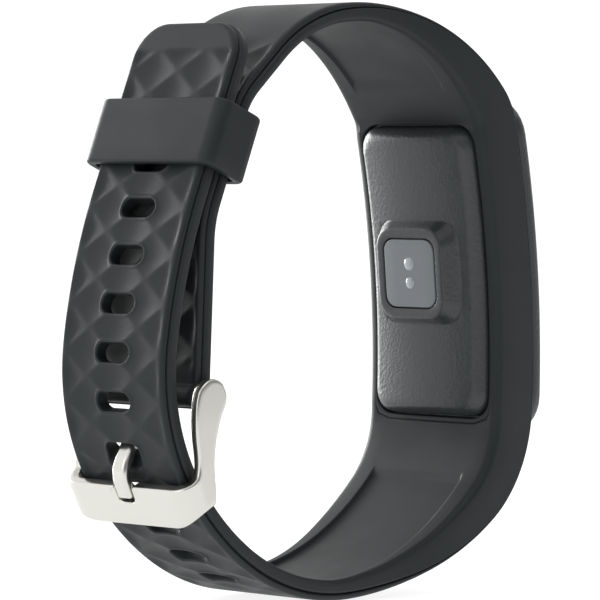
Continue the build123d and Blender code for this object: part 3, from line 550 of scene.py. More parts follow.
def band_rows():
    """Middle, way, corner and turn of each row of the mesh, and the rows that each patch spans."""
    fine = SLOT_PITCH / STEPS
    turns = np.radians(np.linspace(0, 90, 25))
    rows = [(TIP_CORNER, -1.0, TIP_CORNER, turn) for turn in turns[:-1]]
    cells = [slot_cell(place) for place in slot_places()]
    first, last = cells[0][0], cells[-1][1]
    places = list(spread(TIP_CORNER, first, fine))
    for start, stop in cells:
        places += list(spread(start, stop, fine))
    for start, stop, step in (
        (last, last + 3.0, fine), (last + 3.0, POD_PATCH[0], COARSE), (POD_PATCH[0], ARM_START, COARSE),
        (ARM_START, POD_PATCH[1], COARSE / 2), (POD_PATCH[1], ARM_START + 46.0, COARSE),
        (ARM_START + 46.0, BAR_PLACE - 1.8, fine), (BAR_PLACE - 1.8, BAR_END - BAR_CORNER, BAR_STEP),
    ):
        places += list(spread(start, stop, step))
    rows += [(place, 1.0, EDGE_INSET, QUARTER) for place in places]
    rows += [(BAR_END - BAR_CORNER, 1.0, BAR_CORNER, turn) for turn in np.radians(np.linspace(90, 0, 7))]
    table = np.array(rows)
    straight = 99 * (table[:, 3] < 1.5)
    spans = [tuple(int(np.argmin(np.abs(table[:, 0] - end) + straight)) for end in cell)
             for cell in cells + [POD_PATCH]]
    return table, spans


class Rows:
    """The rows of the band's mesh, and places on them."""

    def __init__(self):
        self.table, self.spans = band_rows()
        self.middle, self.way, self.corner, self.turn = self.table.T
        face = HALF_STRAP - EDGE_INSET
        self.grid = np.concatenate([[-face], np.arange(1 - STEPS, STEPS) * (2 * CELL_HALF / STEPS), [face]])
        self.share = self.grid / face
        self.columns = len(self.grid)

    def along(self, rows, inset):
        """Place along the line of a point set in from the edge."""
        return self.middle[rows] + self.way[rows] * (self.corner[rows] - inset) * np.cos(self.turn[rows])

    def place(self, rows, share, inset, along, depth):
        """Place on a row: share is -1 to 1 across the face that starts at the inset."""
        x, z, heading = trace(along)
        px, pz = x - depth * np.sin(heading), z + depth * np.cos(heading)
        half = half_width(px) - self.corner[rows] + (self.corner[rows] - inset) * np.sin(self.turn[rows])
        return np.stack(np.broadcast_arrays(px, share * half, pz), -1)


def outward(along):
    """Direction away from the wrist."""
    _, _, heading = trace(along)
    return np.stack([np.sin(heading), np.zeros_like(heading), -np.cos(heading)], -1)


def field(along):
    """1 where the outer face is dimpled, 0 on the tip and near the pod."""
    reach = from_pod(along)
    on_tail = smooth(along, 3.85, 4.25) * smooth(reach, 49.0, 54.0) * (along < POD_MIDDLE)
    on_arm = smooth(reach, 47.0, 51.0) * (1 - smooth(along, BAR_PLACE - 5.0, BAR_PLACE - 3.0))
    return on_tail + on_arm * (along > POD_MIDDLE)


def marks_for(along, across, weight):
    """What the relief's node tree reads: along, across, weight, outward."""
    along, across, weight = np.broadcast_arrays(along, across, weight)
    weight = weight * (1 - smooth(np.abs(across), HALF_STRAP - 1.5, HALF_STRAP - EDGE_INSET))
    return np.concatenate([np.stack([along, across, weight * field(along)], -1), outward(along)], -1)


def channel(along, across, half, deepest):
    """Depth of the channel in the inner face."""
    reach = from_pod(along)
    start = np.where(along < POD_MIDDLE, 14.5, 12.0)
    deep = (0.4 + (deepest - 0.4) * smooth(reach, 10.0, 50.0)) * smooth(reach - start, 0.0, 0.5)
    deep = deep * smooth(along, 9.0, 11.0) * (1 - smooth(along, BAR_PLACE - 9.0, BAR_PLACE - 8.0))
    wall = channel_half(half)
    return deep * (1 - smooth(np.abs(across), wall - 0.35, wall))


def channel_half(half):
    """Half the channel's width where the strap's half width is half."""
    return np.minimum(half - 1.25, 7.9)


def tier(along):
    """1 where the edge has its raised tier, fading to 0 towards the pod."""
    return smooth(from_pod(along), 20.0, 42.0)


def inner_inset(along):
    """Width of the rounded inner edge."""
    return EDGE_INSET + 0.45 * (1 - smooth(from_pod(along), 8.0, 30.0))


def edge_profile(raised):
    """Inset, depth and relief of each loop across the edge, from the outer face to below the groove."""
    start, rounding = 0.02 + 0.23 * raised, 0.3 + 0.25 * raised
    steps = []
    for turn in np.radians([22.5, 45, 67.5, 90]):
        inset = start + (EDGE_INSET - start) * (1 - math.sin(turn))
        steps.append((inset, rounding * (1 - math.cos(turn)), math.cos(turn)))
    for plain, more, level in GROOVE:
        near_pod = 0.3 + (level - GROOVE[0][2]) * 0.35
        steps.append((plain + more * raised, level * raised + near_pod * (1 - raised), 0.0))
    return steps


def cell_border(grid, rows, columns):
    """Numbers of the mesh points round a patch, in the order of rounded_loop."""
    (top, bottom), (left, right) = rows, columns
    return np.concatenate([
        grid[top, left:right], grid[top:bottom, right],
        grid[bottom, right:left:-1], grid[bottom:top:-1, left]])


def channel_columns(rows, half, wall):
    """Places across the inner face: a few columns run along the channel's wall, the rest between them."""
    across = rows.share * half
    side = np.broadcast_to(np.sign(rows.share), across.shape)
    number = np.arange(rows.columns)
    from_edge = np.minimum(number, rows.columns - 1 - number)
    beside_wall = (0.12, 0.0, -0.15, -0.3, -0.42)
    for step, shift in enumerate(beside_wall, 1):
        across[:, from_edge == step] = (side * (wall + shift))[:, from_edge == step]
    ramp, face = np.abs(rows.grid), rows.grid[-1]
    between = (from_edge > len(beside_wall)) & (ramp > CELL_HALF + 0.01)
    reach = (ramp - CELL_HALF) / (face - CELL_HALF)
    start = CELL_HALF / face * half
    stretched = start + (wall + beside_wall[-1] - start) * (reach / (np.max(reach[between]) + 0.08))
    across[:, between] = (side * stretched)[:, between]
    return np.where(rows.turn[:, None] < 1.5, rows.share * half, across)


def make_band():
    """The one-piece silicone band."""
    sizes = bpy.context.scene.tracker_sizes
    rows = Rows()
    weave = Weave()
    count, columns = len(rows.table), rows.columns
    numbers = np.arange(count)[:, None] * np.ones((1, columns), int)
    shares = np.ones((count, 1)) * rows.share
    deepest = sizes.recess_depth / MM

    along = rows.along(numbers, EDGE_INSET)
    top = rows.place(numbers, shares, EDGE_INSET, along, outer_depth(along))
    outer = weave.row(top, marks_for(along, top[..., 1], 1.0).reshape(-1, 6)).reshape(count, columns)

    inset = inner_inset(along)
    along_in = rows.along(numbers, inset)
    base = inner_depth(along_in)
    half = rows.place(numbers, np.ones_like(shares), inset, along_in, base)[..., 1]
    across = channel_columns(rows, half, channel_half(half + inset))
    sunk = base - channel(along_in, across, half + inset, deepest)
    inner = weave.row(strap_xyz(along_in, across, sunk)).reshape(count, columns)

    slot_columns = (columns // 2 - STEPS // 2, columns // 2 + STEPS // 2)
    solid = np.ones((count - 1, columns - 1), bool)
    for first, last in rows.spans[:-1]:
        solid[first:last, slot_columns[0]:slot_columns[1]] = False
    solid[rows.spans[-1][0]:rows.spans[-1][1]] = False
    for r, c in zip(*np.nonzero(solid)):
        weave.faces.append((outer[r, c], outer[r, c + 1], outer[r + 1, c + 1], outer[r + 1, c]))
        weave.faces.append((inner[r, c], inner[r + 1, c], inner[r + 1, c + 1], inner[r, c + 1]))

    # the edge all the way round, from the outer face to the inner
    ring = ([(0, c) for c in range(columns - 1)] + [(r, columns - 1) for r in range(count - 1)]
            + [(count - 1, c) for c in range(columns - 1, 0, -1)] + [(r, 0) for r in range(count - 1, 0, -1)])
    ring_rows, ring_columns = np.array(ring).T
    share = rows.share[ring_columns]
    loops = [outer[ring_rows, ring_columns]]
    place0 = rows.along(ring_rows, EDGE_INSET)
    raised = tier(place0)
    for off, level, weight in edge_profile(raised):
        place = rows.along(ring_rows, off)
        room = (inner_depth(place) - outer_depth(place)) / 2
        point = rows.place(ring_rows, share, off, place, outer_depth(place) + np.minimum(level, room))
        loops.append(weave.row(point, marks_for(place, point[:, 1], weight)))
    off_in = inner_inset(place0)
    place = rows.along(ring_rows, np.zeros_like(raised))
    room = (inner_depth(place) - outer_depth(place)) / 2
    low = outer_depth(place) + np.minimum(1.3 * raised + 0.6 * (1 - raised), room)
    high = np.maximum(inner_depth(place) - off_in * INNER_EDGE, low)
    for part in (0.0, 0.5, 1.0):
        loops.append(weave.row(rows.place(ring_rows, share, 0.0, place, low + (high - low) * part)))
    for turn in np.radians([18, 36, 54, 72]):
        off = off_in * (1 - math.cos(turn))
        place = rows.along(ring_rows, off)
        depth = inner_depth(place) - off_in * INNER_EDGE * (1 - math.sin(turn))
        loops.append(weave.row(rows.place(ring_rows, share, off, place, depth)))
    loops.append(inner[ring_rows, ring_columns])
    weave.loops(loops)

    rim = sizes.slot_rim / MM
    for place, span in zip(slot_places(), rows.spans):
        cut_slot(weave, outer, inner, span, slot_columns, place, rim, deepest)
    cut_pod_room(weave, outer, inner, rows.spans[-1], (0, columns - 1), along, along_in)

    made = weave.make("band_silicone", "silicone", sharp=65.0)
    table = np.concatenate(weave.marks)
    for name, column in (("along", 0), ("across", 1), ("weight", 2)):
        layer = made.data.attributes.new(name, "FLOAT", "POINT")
        layer.data.foreach_set("value", table[:, column].astype(np.float32))
    layer = made.data.attributes.new("outward", "FLOAT_VECTOR", "POINT")
    layer.data.foreach_set("vector", table[:, 3:].astype(np.float32).ravel())
    return made


def cut_slot(weave, outer, inner, cell_rows, cell_columns, place, rim, deepest):
    """The patch round one slot on both faces, its rounded rims and its walls."""
    count_a, count_b = cell_rows[1] - cell_rows[0], cell_columns[1] - cell_columns[0]
    used = place == SLOT_USED
    half, corner, shift = USED_SLOT if used else (SLOT_HALF, SLOT_HALF[0], 0.0)
    thick = float(thickness(np.array(place)))
    sunk = float(channel(np.array(place), np.array(0.0), HALF_STRAP, deepest))

    def hole(centre, grow):
        a, b = rounded_loop(half[0] + grow, half[1] + grow, corner + grow, count_a, count_b)
        return centre + a, b

    def loop(grow, depth, weight):
        a, b = hole(place + shift * (1 - 2 * max(depth, 0) / thick), grow)
        return weave.row(strap_xyz(a, b, outer_depth(a) + depth), marks_for(a, b, weight))

    border, border_in = (cell_border(side, cell_rows, cell_columns) for side in (outer, inner))
    points = np.concatenate(weave.points)
    share = np.concatenate([np.zeros(count_b), np.linspace(0, 1, count_a, endpoint=False),
                            np.ones(count_b), np.linspace(1, 0, count_a, endpoint=False)])
    start, stop = slot_cell(place)
    far_a, far_b = start + (stop - start) * share, points[border, 1]
    near_a, near_b = hole(place + shift, rim + 0.25)
    rings = [border]
    for part in (0.22, 0.42, 0.6, 0.76, 0.9, 1.0):
        a, b = far_a + (near_a - far_a) * part, far_b + (near_b - far_b) * part
        rings.append(weave.row(strap_xyz(a, b, 0.0 * a), marks_for(a, b, 1.0)))
    rings += [loop(rim + 0.12, -0.03, 0.8), loop(rim, -0.04, 0.7)]
    for turn in np.radians([25, 50, 72, 90]):
        depth = rim * (1 - math.cos(turn)) - 0.04 * math.cos(turn)
        rings.append(loop(rim * (1 - math.sin(turn)), depth, 0.6))
    rings += [loop(0.0, thick * 0.35, 0.2), loop(0.0, thick * 0.55, 0.0),
              loop(0.0, thick - sunk - 0.2, 0.0), loop(0.06, thick - sunk - 0.06, 0.0)]
    near_a, near_b = hole(place - shift, 0.2)
    far_b = points[border_in, 1]
    for part in (0.0, 0.3, 0.65):
        a, b = near_a + (far_a - near_a) * part, near_b + (far_b - near_b) * part
        rings.append(weave.row(strap_xyz(a, b, inner_depth(a) - sunk)))
    weave.loops(rings + [border_in])


def inner_place(pod_along):
    """Place on the line whose inner face lies at a distance along the pod."""
    probe = np.linspace(POD_PATCH[0] - 1, POD_PATCH[1] + 1, 400)
    spots = strap_xyz(probe, 0.0, thickness(probe))
    angle = np.arctan2(spots[:, 2] - FRAME_CENTRE[1], spots[:, 0] - FRAME_CENTRE[0]) - POD_ANGLE
    return np.interp(pod_along, angle * FRAME_RADIUS, probe)


def cut_pod_room(weave, outer, inner, cell_rows, cell_columns, along, along_in):
    """The room for the pod: its front opening, walls, rear lip and rear opening."""
    steps = cell_rows[1] - cell_rows[0], cell_columns[1] - cell_columns[0]
    points = np.concatenate(weave.points)
    border, border_in = (cell_border(side, cell_rows, cell_columns) for side in (outer, inner))
    own = cell_border(np.arange(outer.size).reshape(outer.shape), cell_rows, cell_columns)
    far_a, far_in = along.ravel()[own], along_in.ravel()[own]

    def opening(half, corner, grow=0.0, round_more=0.0):
        return rounded_loop(half[0] + grow, half[1] + grow, corner + round_more, *steps)

    a, b = opening(*POD_ROOM, ROOM_RIM, ROOM_RIM)
    near_a = POD_MIDDLE + a
    rings = [border]
    for part in (0.35, 0.7, 1.0):
        at, over = far_a + (near_a - far_a) * part, points[border, 1] + (b - points[border, 1]) * part
        rings.append(weave.row(strap_xyz(at, over, 0.0 * at)))
    a, b = opening(*POD_ROOM)
    rings.append(weave.row(strap_xyz(POD_MIDDLE + a, b, ROOM_RIM + 0.0 * a)))
    rings += [weave.row(pod_xyz(a, b, -depth)) for depth in (0.6, 3.3, LIP_DEPTH)]
    a, b = opening(*POD_LIP)
    rings.append(weave.row(pod_xyz(a, b, -LIP_DEPTH)))
    at = inner_place(a)
    rings.append(weave.row(strap_xyz(at, b, thickness(at) - LIP_RIM)))
    a, b = opening(*POD_LIP, 0.3 * LIP_RIM)
    at = inner_place(a)
    rings.append(weave.row(strap_xyz(at, b, thickness(at) - 0.3 * LIP_RIM)))
    a, b = opening(*POD_LIP, LIP_RIM, LIP_RIM)
    near_in = inner_place(a)
    low_end = smooth(-a, 16.0, 19.0)
    for part in (0.0, 0.18, 0.27, 0.33, 0.39, 0.48, 0.75):
        at, over = near_in + (far_in - near_in) * part, b + (points[border_in, 1] - b) * part
        groove = 0.14 * max(0.0, 1 - abs(part - 0.33) / 0.07) * low_end
        rings.append(weave.row(strap_xyz(at, over, thickness(at) - groove)))
    weave.loops(rings + [border_in])


def relief_tree():
    """Node tree that presses a field of shallow diamond dimples into the strap's outer face."""
    tree = bpy.data.node_groups.new("Diamond dimples", "GeometryNodeTree")
    ports = {}
    for name, kind, default in (
        ("Diamond length", "NodeSocketFloat", 6.0), ("Diamond width", "NodeSocketFloat", 8.3),
        ("Dimple depth", "NodeSocketFloat", 0.0003), ("Field depth", "NodeSocketFloat", 0.0001),
        ("Middle of a diamond", "NodeSocketFloat", 0.0), ("Material", "NodeSocketMaterial", None),
    ):
        port = tree.interface.new_socket(name, in_out="INPUT", socket_type=kind)
        if default is not None:
            port.default_value = default
        ports[name] = port.identifier
    geometry_in = tree.interface.new_socket("Geometry", in_out="INPUT", socket_type="NodeSocketGeometry")
    tree.interface.new_socket("Geometry", in_out="OUTPUT", socket_type="NodeSocketGeometry")
    tree.interface.move(geometry_in, 0)
    given = add(tree, "NodeGroupInput").outputs
    along, across, weight = (
        add(tree, "GeometryNodeInputNamedAttribute", {"data_type": "FLOAT"}, {"Name": name}).outputs[0]
        for name in ("along", "across", "weight"))
    outwards = add(tree, "GeometryNodeInputNamedAttribute", {"data_type": "FLOAT_VECTOR"},
                   {"Name": "outward"}).outputs[0]

    def sums(operation, *values):
        return add(tree, "ShaderNodeMath", {"operation": operation}, dict(enumerate(values))).outputs[0]

    shifted = sums("SUBTRACT", along, given["Middle of a diamond"])
    lengthwise = sums("MULTIPLY", sums("DIVIDE", shifted, given["Diamond length"]), 2.0)
    widthwise = sums("MULTIPLY", sums("DIVIDE", across, given["Diamond width"]), 2.0)
    hollow = None
    for operation in ("ADD", "SUBTRACT"):
        wrapped = sums("WRAP", sums(operation, lengthwise, widthwise), 1.0, -1.0)
        share = sums("SUBTRACT", 1.0, sums("MULTIPLY", wrapped, wrapped))
        hollow = share if hollow is None else sums("MULTIPLY", hollow, share)
    depth = sums("MULTIPLY_ADD", hollow, given["Dimple depth"], given["Field depth"])
    pressed = sums("MULTIPLY", sums("MULTIPLY", depth, weight), -1.0)
    offset = add(tree, "ShaderNodeVectorMath", {"operation": "SCALE"}, {0: outwards, "Scale": pressed})
    moved = add(tree, "GeometryNodeSetPosition", None,
                {"Geometry": given["Geometry"], "Offset": offset.outputs[0]})
    real = add(tree, "GeometryNodeRealizeInstances", None, {"Geometry": moved.outputs[0]})
    painted = add(tree, "GeometryNodeSetMaterial", None,
                  {"Geometry": real.outputs[0], "Material": given["Material"]})
    add(tree, "NodeGroupOutput", None, {"Geometry": painted.outputs[0]})
    return tree, ports


def settle(made, sharp=65.0):
    """Turn an object with modifiers into a plain mesh."""
    graph = bpy.context.evaluated_depsgraph_get()
    mesh = bpy.data.meshes.new_from_object(made.evaluated_get(graph))
    mesh.name = made.name
    made.modifiers.clear()
    made.data = mesh
    mesh.set_sharp_from_angle(angle=math.radians(sharp))
    return made


def cutter(name, weave):
    """A hidden body to cut away with."""
    made = weave.make(name, "silicone")
    made.hide_render = True
    return made


# ------------------------------------------------------------------ pieces made of stacked loops
def stack(name, finish_name, loops, steps=(28, 24), caps=False, sharp=50.0, weave=None):
    """A body from rounded-rectangle loops.

    Each loop is (half along, half across, corner, depth, place), place being pod_xyz or flat_xyz.
    """
    own = weave or Weave()
    rings = []
    for half_a, half_b, corner, depth, place in loops:
        a, b = rounded_loop(half_a, half_b, corner, *steps)
        rings.append(own.row(place(a, b, -depth(a, b) if callable(depth) else -depth)))
    if caps:
        own.loops(rings)
        own.slat_cap(rings[0], steps)
        own.slat_cap(rings[-1], steps)
    else:
        own.loops(rings + [rings[0]])
    return own.make(name, finish_name, sharp) if weave is None else own


def crown(a, b):
    """Depth of the rear cover's crowned face."""
    return FRAME_DEPTH + COVER_STAND + CROWN * (1 - (b / COVER_HALF[1]) ** 2)


def cover_loops():
    """The rear cover, from its skirt over the crown and the bump, and back along its inside."""
    half_a, half_b = COVER_HALF
    loops = [
        (POD_HALF[0], POD_HALF[1], 3.2, SPLIT_DEPTH, pod_xyz),
        (POD_HALF[0], POD_HALF[1], 3.2, 5.9, pod_xyz),
        (POD_HALF[0] - 0.1, POD_HALF[1] - 0.1, 3.1, 6.0, pod_xyz),
        (half_a, half_b, COVER_CORNER, 6.0, pod_xyz),
        (half_a, half_b, COVER_CORNER, 6.6, pod_xyz),
    ]
    base, rounding = 6.75, 1.5
    for turn in np.radians([0, 15, 30, 45, 60, 75, 90]):
        inset = rounding * (1 - math.cos(turn))
        lift = math.sin(turn)
        loops.append((half_a - inset, half_b - inset, COVER_CORNER - inset * 0.4,
                      lambda a, b, k=lift: base + (crown(a, b) - base) * k, pod_xyz))
    start = (half_a - rounding, half_b - rounding, COVER_CORNER - 0.6)
    foot = (7.3, 7.1, 3.1)
    for part in np.linspace(0.09, 1.0, 12):
        loops.append((*(s + (f - s) * part for s, f in zip(start, foot)), crown, pod_xyz))
    top = BUMP_LEVEL
    for inset, share in ((0.0, 0.0), (0.3, 0.03), (0.55, 0.12), (0.8, 0.3), (1.15, 0.62), (1.4, 0.84),
                         (1.56, 0.945), (1.75, 0.99), (2.0, 1.0)):
        size = (foot[0] - inset * 0.98, foot[1] - inset * 0.96, foot[2] - inset * 0.45)
        if inset:
            loops.append((*size, lambda a, b, k=share: crown(a, b) + (top - crown(a, b)) * k, flat_xyz))
    loops += [
        (4.78, 4.63, 1.85, top - 0.01, flat_xyz),
        (4.66, 4.51, 1.75, top - 0.05, flat_xyz),
        (4.6, 4.45, 1.7, top - 0.15, flat_xyz),
        (4.6, 4.45, 1.7, top - 0.7, flat_xyz),
        (3.7, 3.55, 1.6, top - 0.7, flat_xyz),
        (3.7, 3.55, 1.6, top - 2.0, flat_xyz),
    ]
    for part in np.linspace(0.0, 1.0, 6):
        size = (4.4 + (18.8 - 4.4) * part, 4.2 + (8.5 - 4.2) * part, 1.8 + 0.2 * part)
        loops.append((*size, lambda a, b: crown(a, b) - 1.1, pod_xyz))
    loops.append((18.9, 8.6, 2.0, SPLIT_DEPTH, pod_xyz))
    return loops


def housing_loops():
    """The front housing: tub, flange with a soft shoulder, and the pocket for the glass."""
    half_a, half_b = FLANGE_HALF
    loops = [
        (POD_HALF[0], POD_HALF[1], 3.2, SPLIT_DEPTH, pod_xyz),
        (POD_HALF[0], POD_HALF[1], 3.2, -0.1, pod_xyz),
        (half_a - 0.15, half_b - 0.15, 4.85, -0.1, pod_xyz),
        (half_a, half_b, 5.0, -0.25, pod_xyz),
        (half_a, half_b, 5.0, -0.9, pod_xyz),
    ]
    for turn in np.radians([15, 30, 45, 60, 75, 90]):
        inset = 0.62 * (1 - math.cos(turn))
        loops.append((half_a - inset, half_b - inset, 5.0 - inset, -(1.1 + 0.9 * math.sin(turn)), pod_xyz))
    loops += [
        (21.36, 10.36, 4.26, -FLANGE_RISE, pod_xyz),
        (21.28, 10.28, 4.18, -(FLANGE_RISE - 0.08), pod_xyz),
        (21.28, 10.28, 4.18, -1.05, pod_xyz),
        (18.6, 8.1, 1.8, -1.05, pod_xyz),
        (18.6, 8.1, 1.8, -0.35, pod_xyz),
        (19.5, 9.0, 2.2, -0.35, pod_xyz),
        (19.5, 9.0, 2.2, SPLIT_DEPTH, pod_xyz),
    ]
    return loops


def plate_loops(half, corner, low, high, edge, place, inner):
    """A thin plate with rounded edges, closed by small caps."""
    face, way = (half[0] - edge, half[1] - edge, corner - edge), math.copysign(edge, high - low)
    rim = [(edge * (1 - math.sin(turn)), way * (1 - math.cos(turn))) for turn in np.radians([0, 30, 60, 90])]

    def flat(level, parts):
        return [(*(i + (f - i) * (1 - part) for i, f in zip(inner, face)), level, place) for part in parts]

    sides = [(inset, low + rise) for inset, rise in rim] + [(inset, high - rise) for inset, rise in rim[::-1]]
    edges = [(half[0] - inset, half[1] - inset, corner - inset, level, place) for inset, level in sides]
    return flat(low, (1.0, 0.5)) + edges + flat(high, (0.5, 1.0))


def keeper_xyz(out, across, down):
    """A place on the keeper, from its middle."""
    out, across, down = np.broadcast_arrays(out, across, np.asarray(down, float))
    x = KEEPER_MIDDLE[0] + KEEPER_DOWN[1] * (out + 0.1) + KEEPER_DOWN[0] * down
    z = KEEPER_MIDDLE[1] - KEEPER_DOWN[0] * (out + 0.1) + KEEPER_DOWN[1] * down
    return np.stack([x, across, z], -1)


def make_keeper():
    """The loose loop: soft corners, rounded rims and a slightly crowned front."""
    weave = Weave()
    turns, edge, lip = np.radians([30, 60, 90]), 0.4, 0.2
    section = [(0.0, KEEPER_HALF - edge), (0.0, 1.8), (0.0, 0.0), (0.0, -1.8), (0.0, edge - KEEPER_HALF)]
    section += [(edge * (1 - math.cos(t)), edge - KEEPER_HALF - edge * math.sin(t)) for t in turns]
    section += [(1 - lip + lip * math.sin(t), lip - KEEPER_HALF - lip * math.cos(t)) for t in turns]
    section += [(1.0, 0.0)]
    section += [(1 - lip + lip * math.sin(t), KEEPER_HALF - lip + lip * math.cos(t)) for t in turns[::-1]]
    section += [(edge * (1 - math.cos(t)), KEEPER_HALF - edge + edge * math.sin(t)) for t in turns[::-1]]
    rings = []
    for part, down in section:
        half_out, half_across = 3.8 - 1.05 * part, 10.95 - 1.3 * part
        corner = 1.6 - 1.0 * part
        out, across = rounded_loop(half_out - 0.05, half_across, corner, 26, 60)
        out = out + np.sign(out) * 0.05 * (1 - (across / half_across) ** 2) * (1 - part)
        rings.append(weave.row(keeper_xyz(out, across, down)))
    weave.loops(rings + [rings[0]])
    return weave.make("keeper_silicone", "silicone")


# ------------------------------------------------------------------ buckle
ARM_OUT, ARM_IN = 11.0, 9.6
PLATE = 1.5
BEND_OUT, BEND_IN = 2.6, 1.4
LUG = (-7.84, 10.28, 2.3)
# The arm's upper and lower edges, as (out from the crossbar's inner face, up the tail).
ARM_UPPER = ((-7.84, 12.58), (-6.6, 12.35), (-5.4, 11.3), (-4.15, 9.3), (-3.15, 7.1), (-2.45, 5.0),
             (-1.85, 3.75), (-1.1, 3.05), (0.2, 2.75), (1.5, 2.7))
ARM_LOWER = ((-9.3, 8.45), (-8.0, 7.55), (-6.6, 6.15), (-5.5, 4.8), (-4.5, 3.2), (-3.7, 1.4), (-3.2, 0.0),
             (-2.6, -1.0), (-1.8, -1.8), (-0.7, -2.4), (0.4, -2.65), (1.5, -2.7))
BAR_HALF = 2.7                  # half the crossbar's height
LOW_CORNER = 1.4                # how far the crossbar's lower corners are cut back
NOTCH = (0.5, 1.45, 0.8)        # bottom, half width and corner of the tongue's notch
NOTCH_LIP = 0.5                 # rounding of the notch's mouth
BORE_RADIUS = 0.73              # of the strap's bore for the spring bar
TONGUE_BOW = (-0.45, -0.1)      # how far the tongue's bend stands out from its straight lines


def ease_through(points, where):
    """A smooth curve through points, without overshoot."""
    xs, ys = np.array(points).T
    slope = np.diff(ys) / np.diff(xs)
    flat = slope[:-1] * slope[1:] <= 0
    mean = np.where(flat, 0, 2 * slope[:-1] * slope[1:] / np.where(flat, 1, slope[:-1] + slope[1:]))
    lean = np.concatenate([[slope[0]], mean, [slope[-1]]])
    i = np.clip(np.searchsorted(xs, where) - 1, 0, len(xs) - 2)
    h = xs[i + 1] - xs[i]
    s = np.clip((where - xs[i]) / h, 0, 1)
    return ((1 + 2 * s) * (1 - s) ** 2 * ys[i] + s * (1 - s) ** 2 * h * lean[i]
            + s**2 * (3 - 2 * s) * ys[i + 1] + s**2 * (s - 1) * h * lean[i + 1])


FLAT = ARM_OUT - BEND_OUT
BENT = FLAT + BEND_OUT * math.pi / 2
REACH = BENT + (PLATE - BEND_OUT) - (LUG[0] - LUG[2])


def bent_plate(run, part):
    """Out and across of a place on the U-shaped plate: part 0 is its outer face, 1 its inner."""
    side, size = np.sign(run), np.abs(run)
    turn = np.clip((size - FLAT) / BEND_OUT, 0, QUARTER)
    past = np.maximum(size - BENT, 0)
    face, flat_in = PLATE - BEND_OUT, ARM_IN - BEND_IN
    out_face = np.where(size > BENT, face - past, face + BEND_OUT * np.cos(turn))
    out_over = np.where(size < FLAT, size, FLAT + BEND_OUT * np.sin(turn))
    shorter = 1 - (BEND_IN + face) / (REACH - BENT)
    in_face = np.where(size > BENT, -BEND_IN - past * shorter, -BEND_IN + BEND_IN * np.cos(turn))
    in_over = np.where(size < FLAT, size * flat_in / FLAT, flat_in + BEND_IN * np.sin(turn))
    return out_face + (in_face - out_face) * part, side * (out_over + (in_over - out_over) * part)


def crossbar_xyz(out, across, up):
    """A place in the crossbar's plane."""
    return np.stack(np.broadcast_arrays(
        CROSSBAR[0] + CROSSBAR_OUT[0] * out + CROSSBAR_UP[0] * up, across,
        CROSSBAR[1] + CROSSBAR_OUT[1] * out + CROSSBAR_UP[1] * up), -1)


def buckle_outline():
    """Rows of the buckle's plate, as (run, lower edge) and (run, upper edge), one lug to the other."""
    lug_out, lug_up, lug_radius = LUG
    end = BENT + PLATE - BEND_OUT

    def upper(out):
        if out < lug_out:
            return lug_up + math.sqrt(lug_radius**2 - (out - lug_out) ** 2)
        return float(ease_through(ARM_UPPER, out))

    low, high = [], []
    for turn in np.radians(np.linspace(14, 50, 6)):
        run = end - lug_out + lug_radius * math.cos(turn)
        low.append((run, lug_up - lug_radius * math.sin(turn)))
        high.append((run, lug_up + lug_radius * math.sin(turn)))
    arm = [(end - out, out) for out in np.linspace(ARM_LOWER[0][0], PLATE - BEND_OUT, 26)[1:]]
    arm += [(run, float(bent_plate(run, 0.0)[0])) for run in np.linspace(BENT, FLAT, 9)[1:]]
    for run, out in arm:
        low.append((run, float(ease_through(ARM_LOWER, out))))
        high.append((run, upper(out)))
    floor, half, corner = NOTCH
    mouth = half + NOTCH_LIP
    top = [(run, BAR_HALF) for run in np.linspace(FLAT, mouth, 14)[1:]]
    top += [(mouth - NOTCH_LIP * math.sin(turn), BAR_HALF - NOTCH_LIP * (1 - math.cos(turn)))
            for turn in np.radians([0, 30, 60, 90])]
    top += [(half - corner * (1 - math.cos(turn)), floor + corner * (1 - math.sin(turn)))
            for turn in np.radians([0, 22.5, 45, 67.5, 90])]
    top += [(half - corner - 0.3, floor), (0.0, floor)]
    low += [(run, -BAR_HALF) for run in np.linspace(FLAT, 0.0, len(top) + 1)[1:]]
    low, high = np.array(low), np.array(high + top)
    rise = LOW_CORNER * smooth(low[:, 0], FLAT - 1.5, FLAT + 4.0)
    low[:, 1] = np.maximum(low[:, 1], rise - BAR_HALF)
    return [np.concatenate([edge * (-1.0, 1.0), edge[-2::-1]]) for edge in (low, high)]


def inward_normals(loop):
    """Unit normals pointing into a closed outline."""
    ahead, behind = np.roll(loop, -1, 0), np.roll(loop, 1, 0)
    lead = ahead - loop
    trail = loop - behind
    lead = lead / np.maximum(np.linalg.norm(lead, axis=1, keepdims=True), 1e-9)
    trail = trail / np.maximum(np.linalg.norm(trail, axis=1, keepdims=True), 1e-9)
    along = lead + trail
    along /= np.linalg.norm(along, axis=1, keepdims=True)
    area = np.sum(loop[:, 0] * ahead[:, 1] - loop[:, 1] * ahead[:, 0])
    normal = np.stack([-along[:, 1], along[:, 0]], -1)
    return normal if area > 0 else -normal


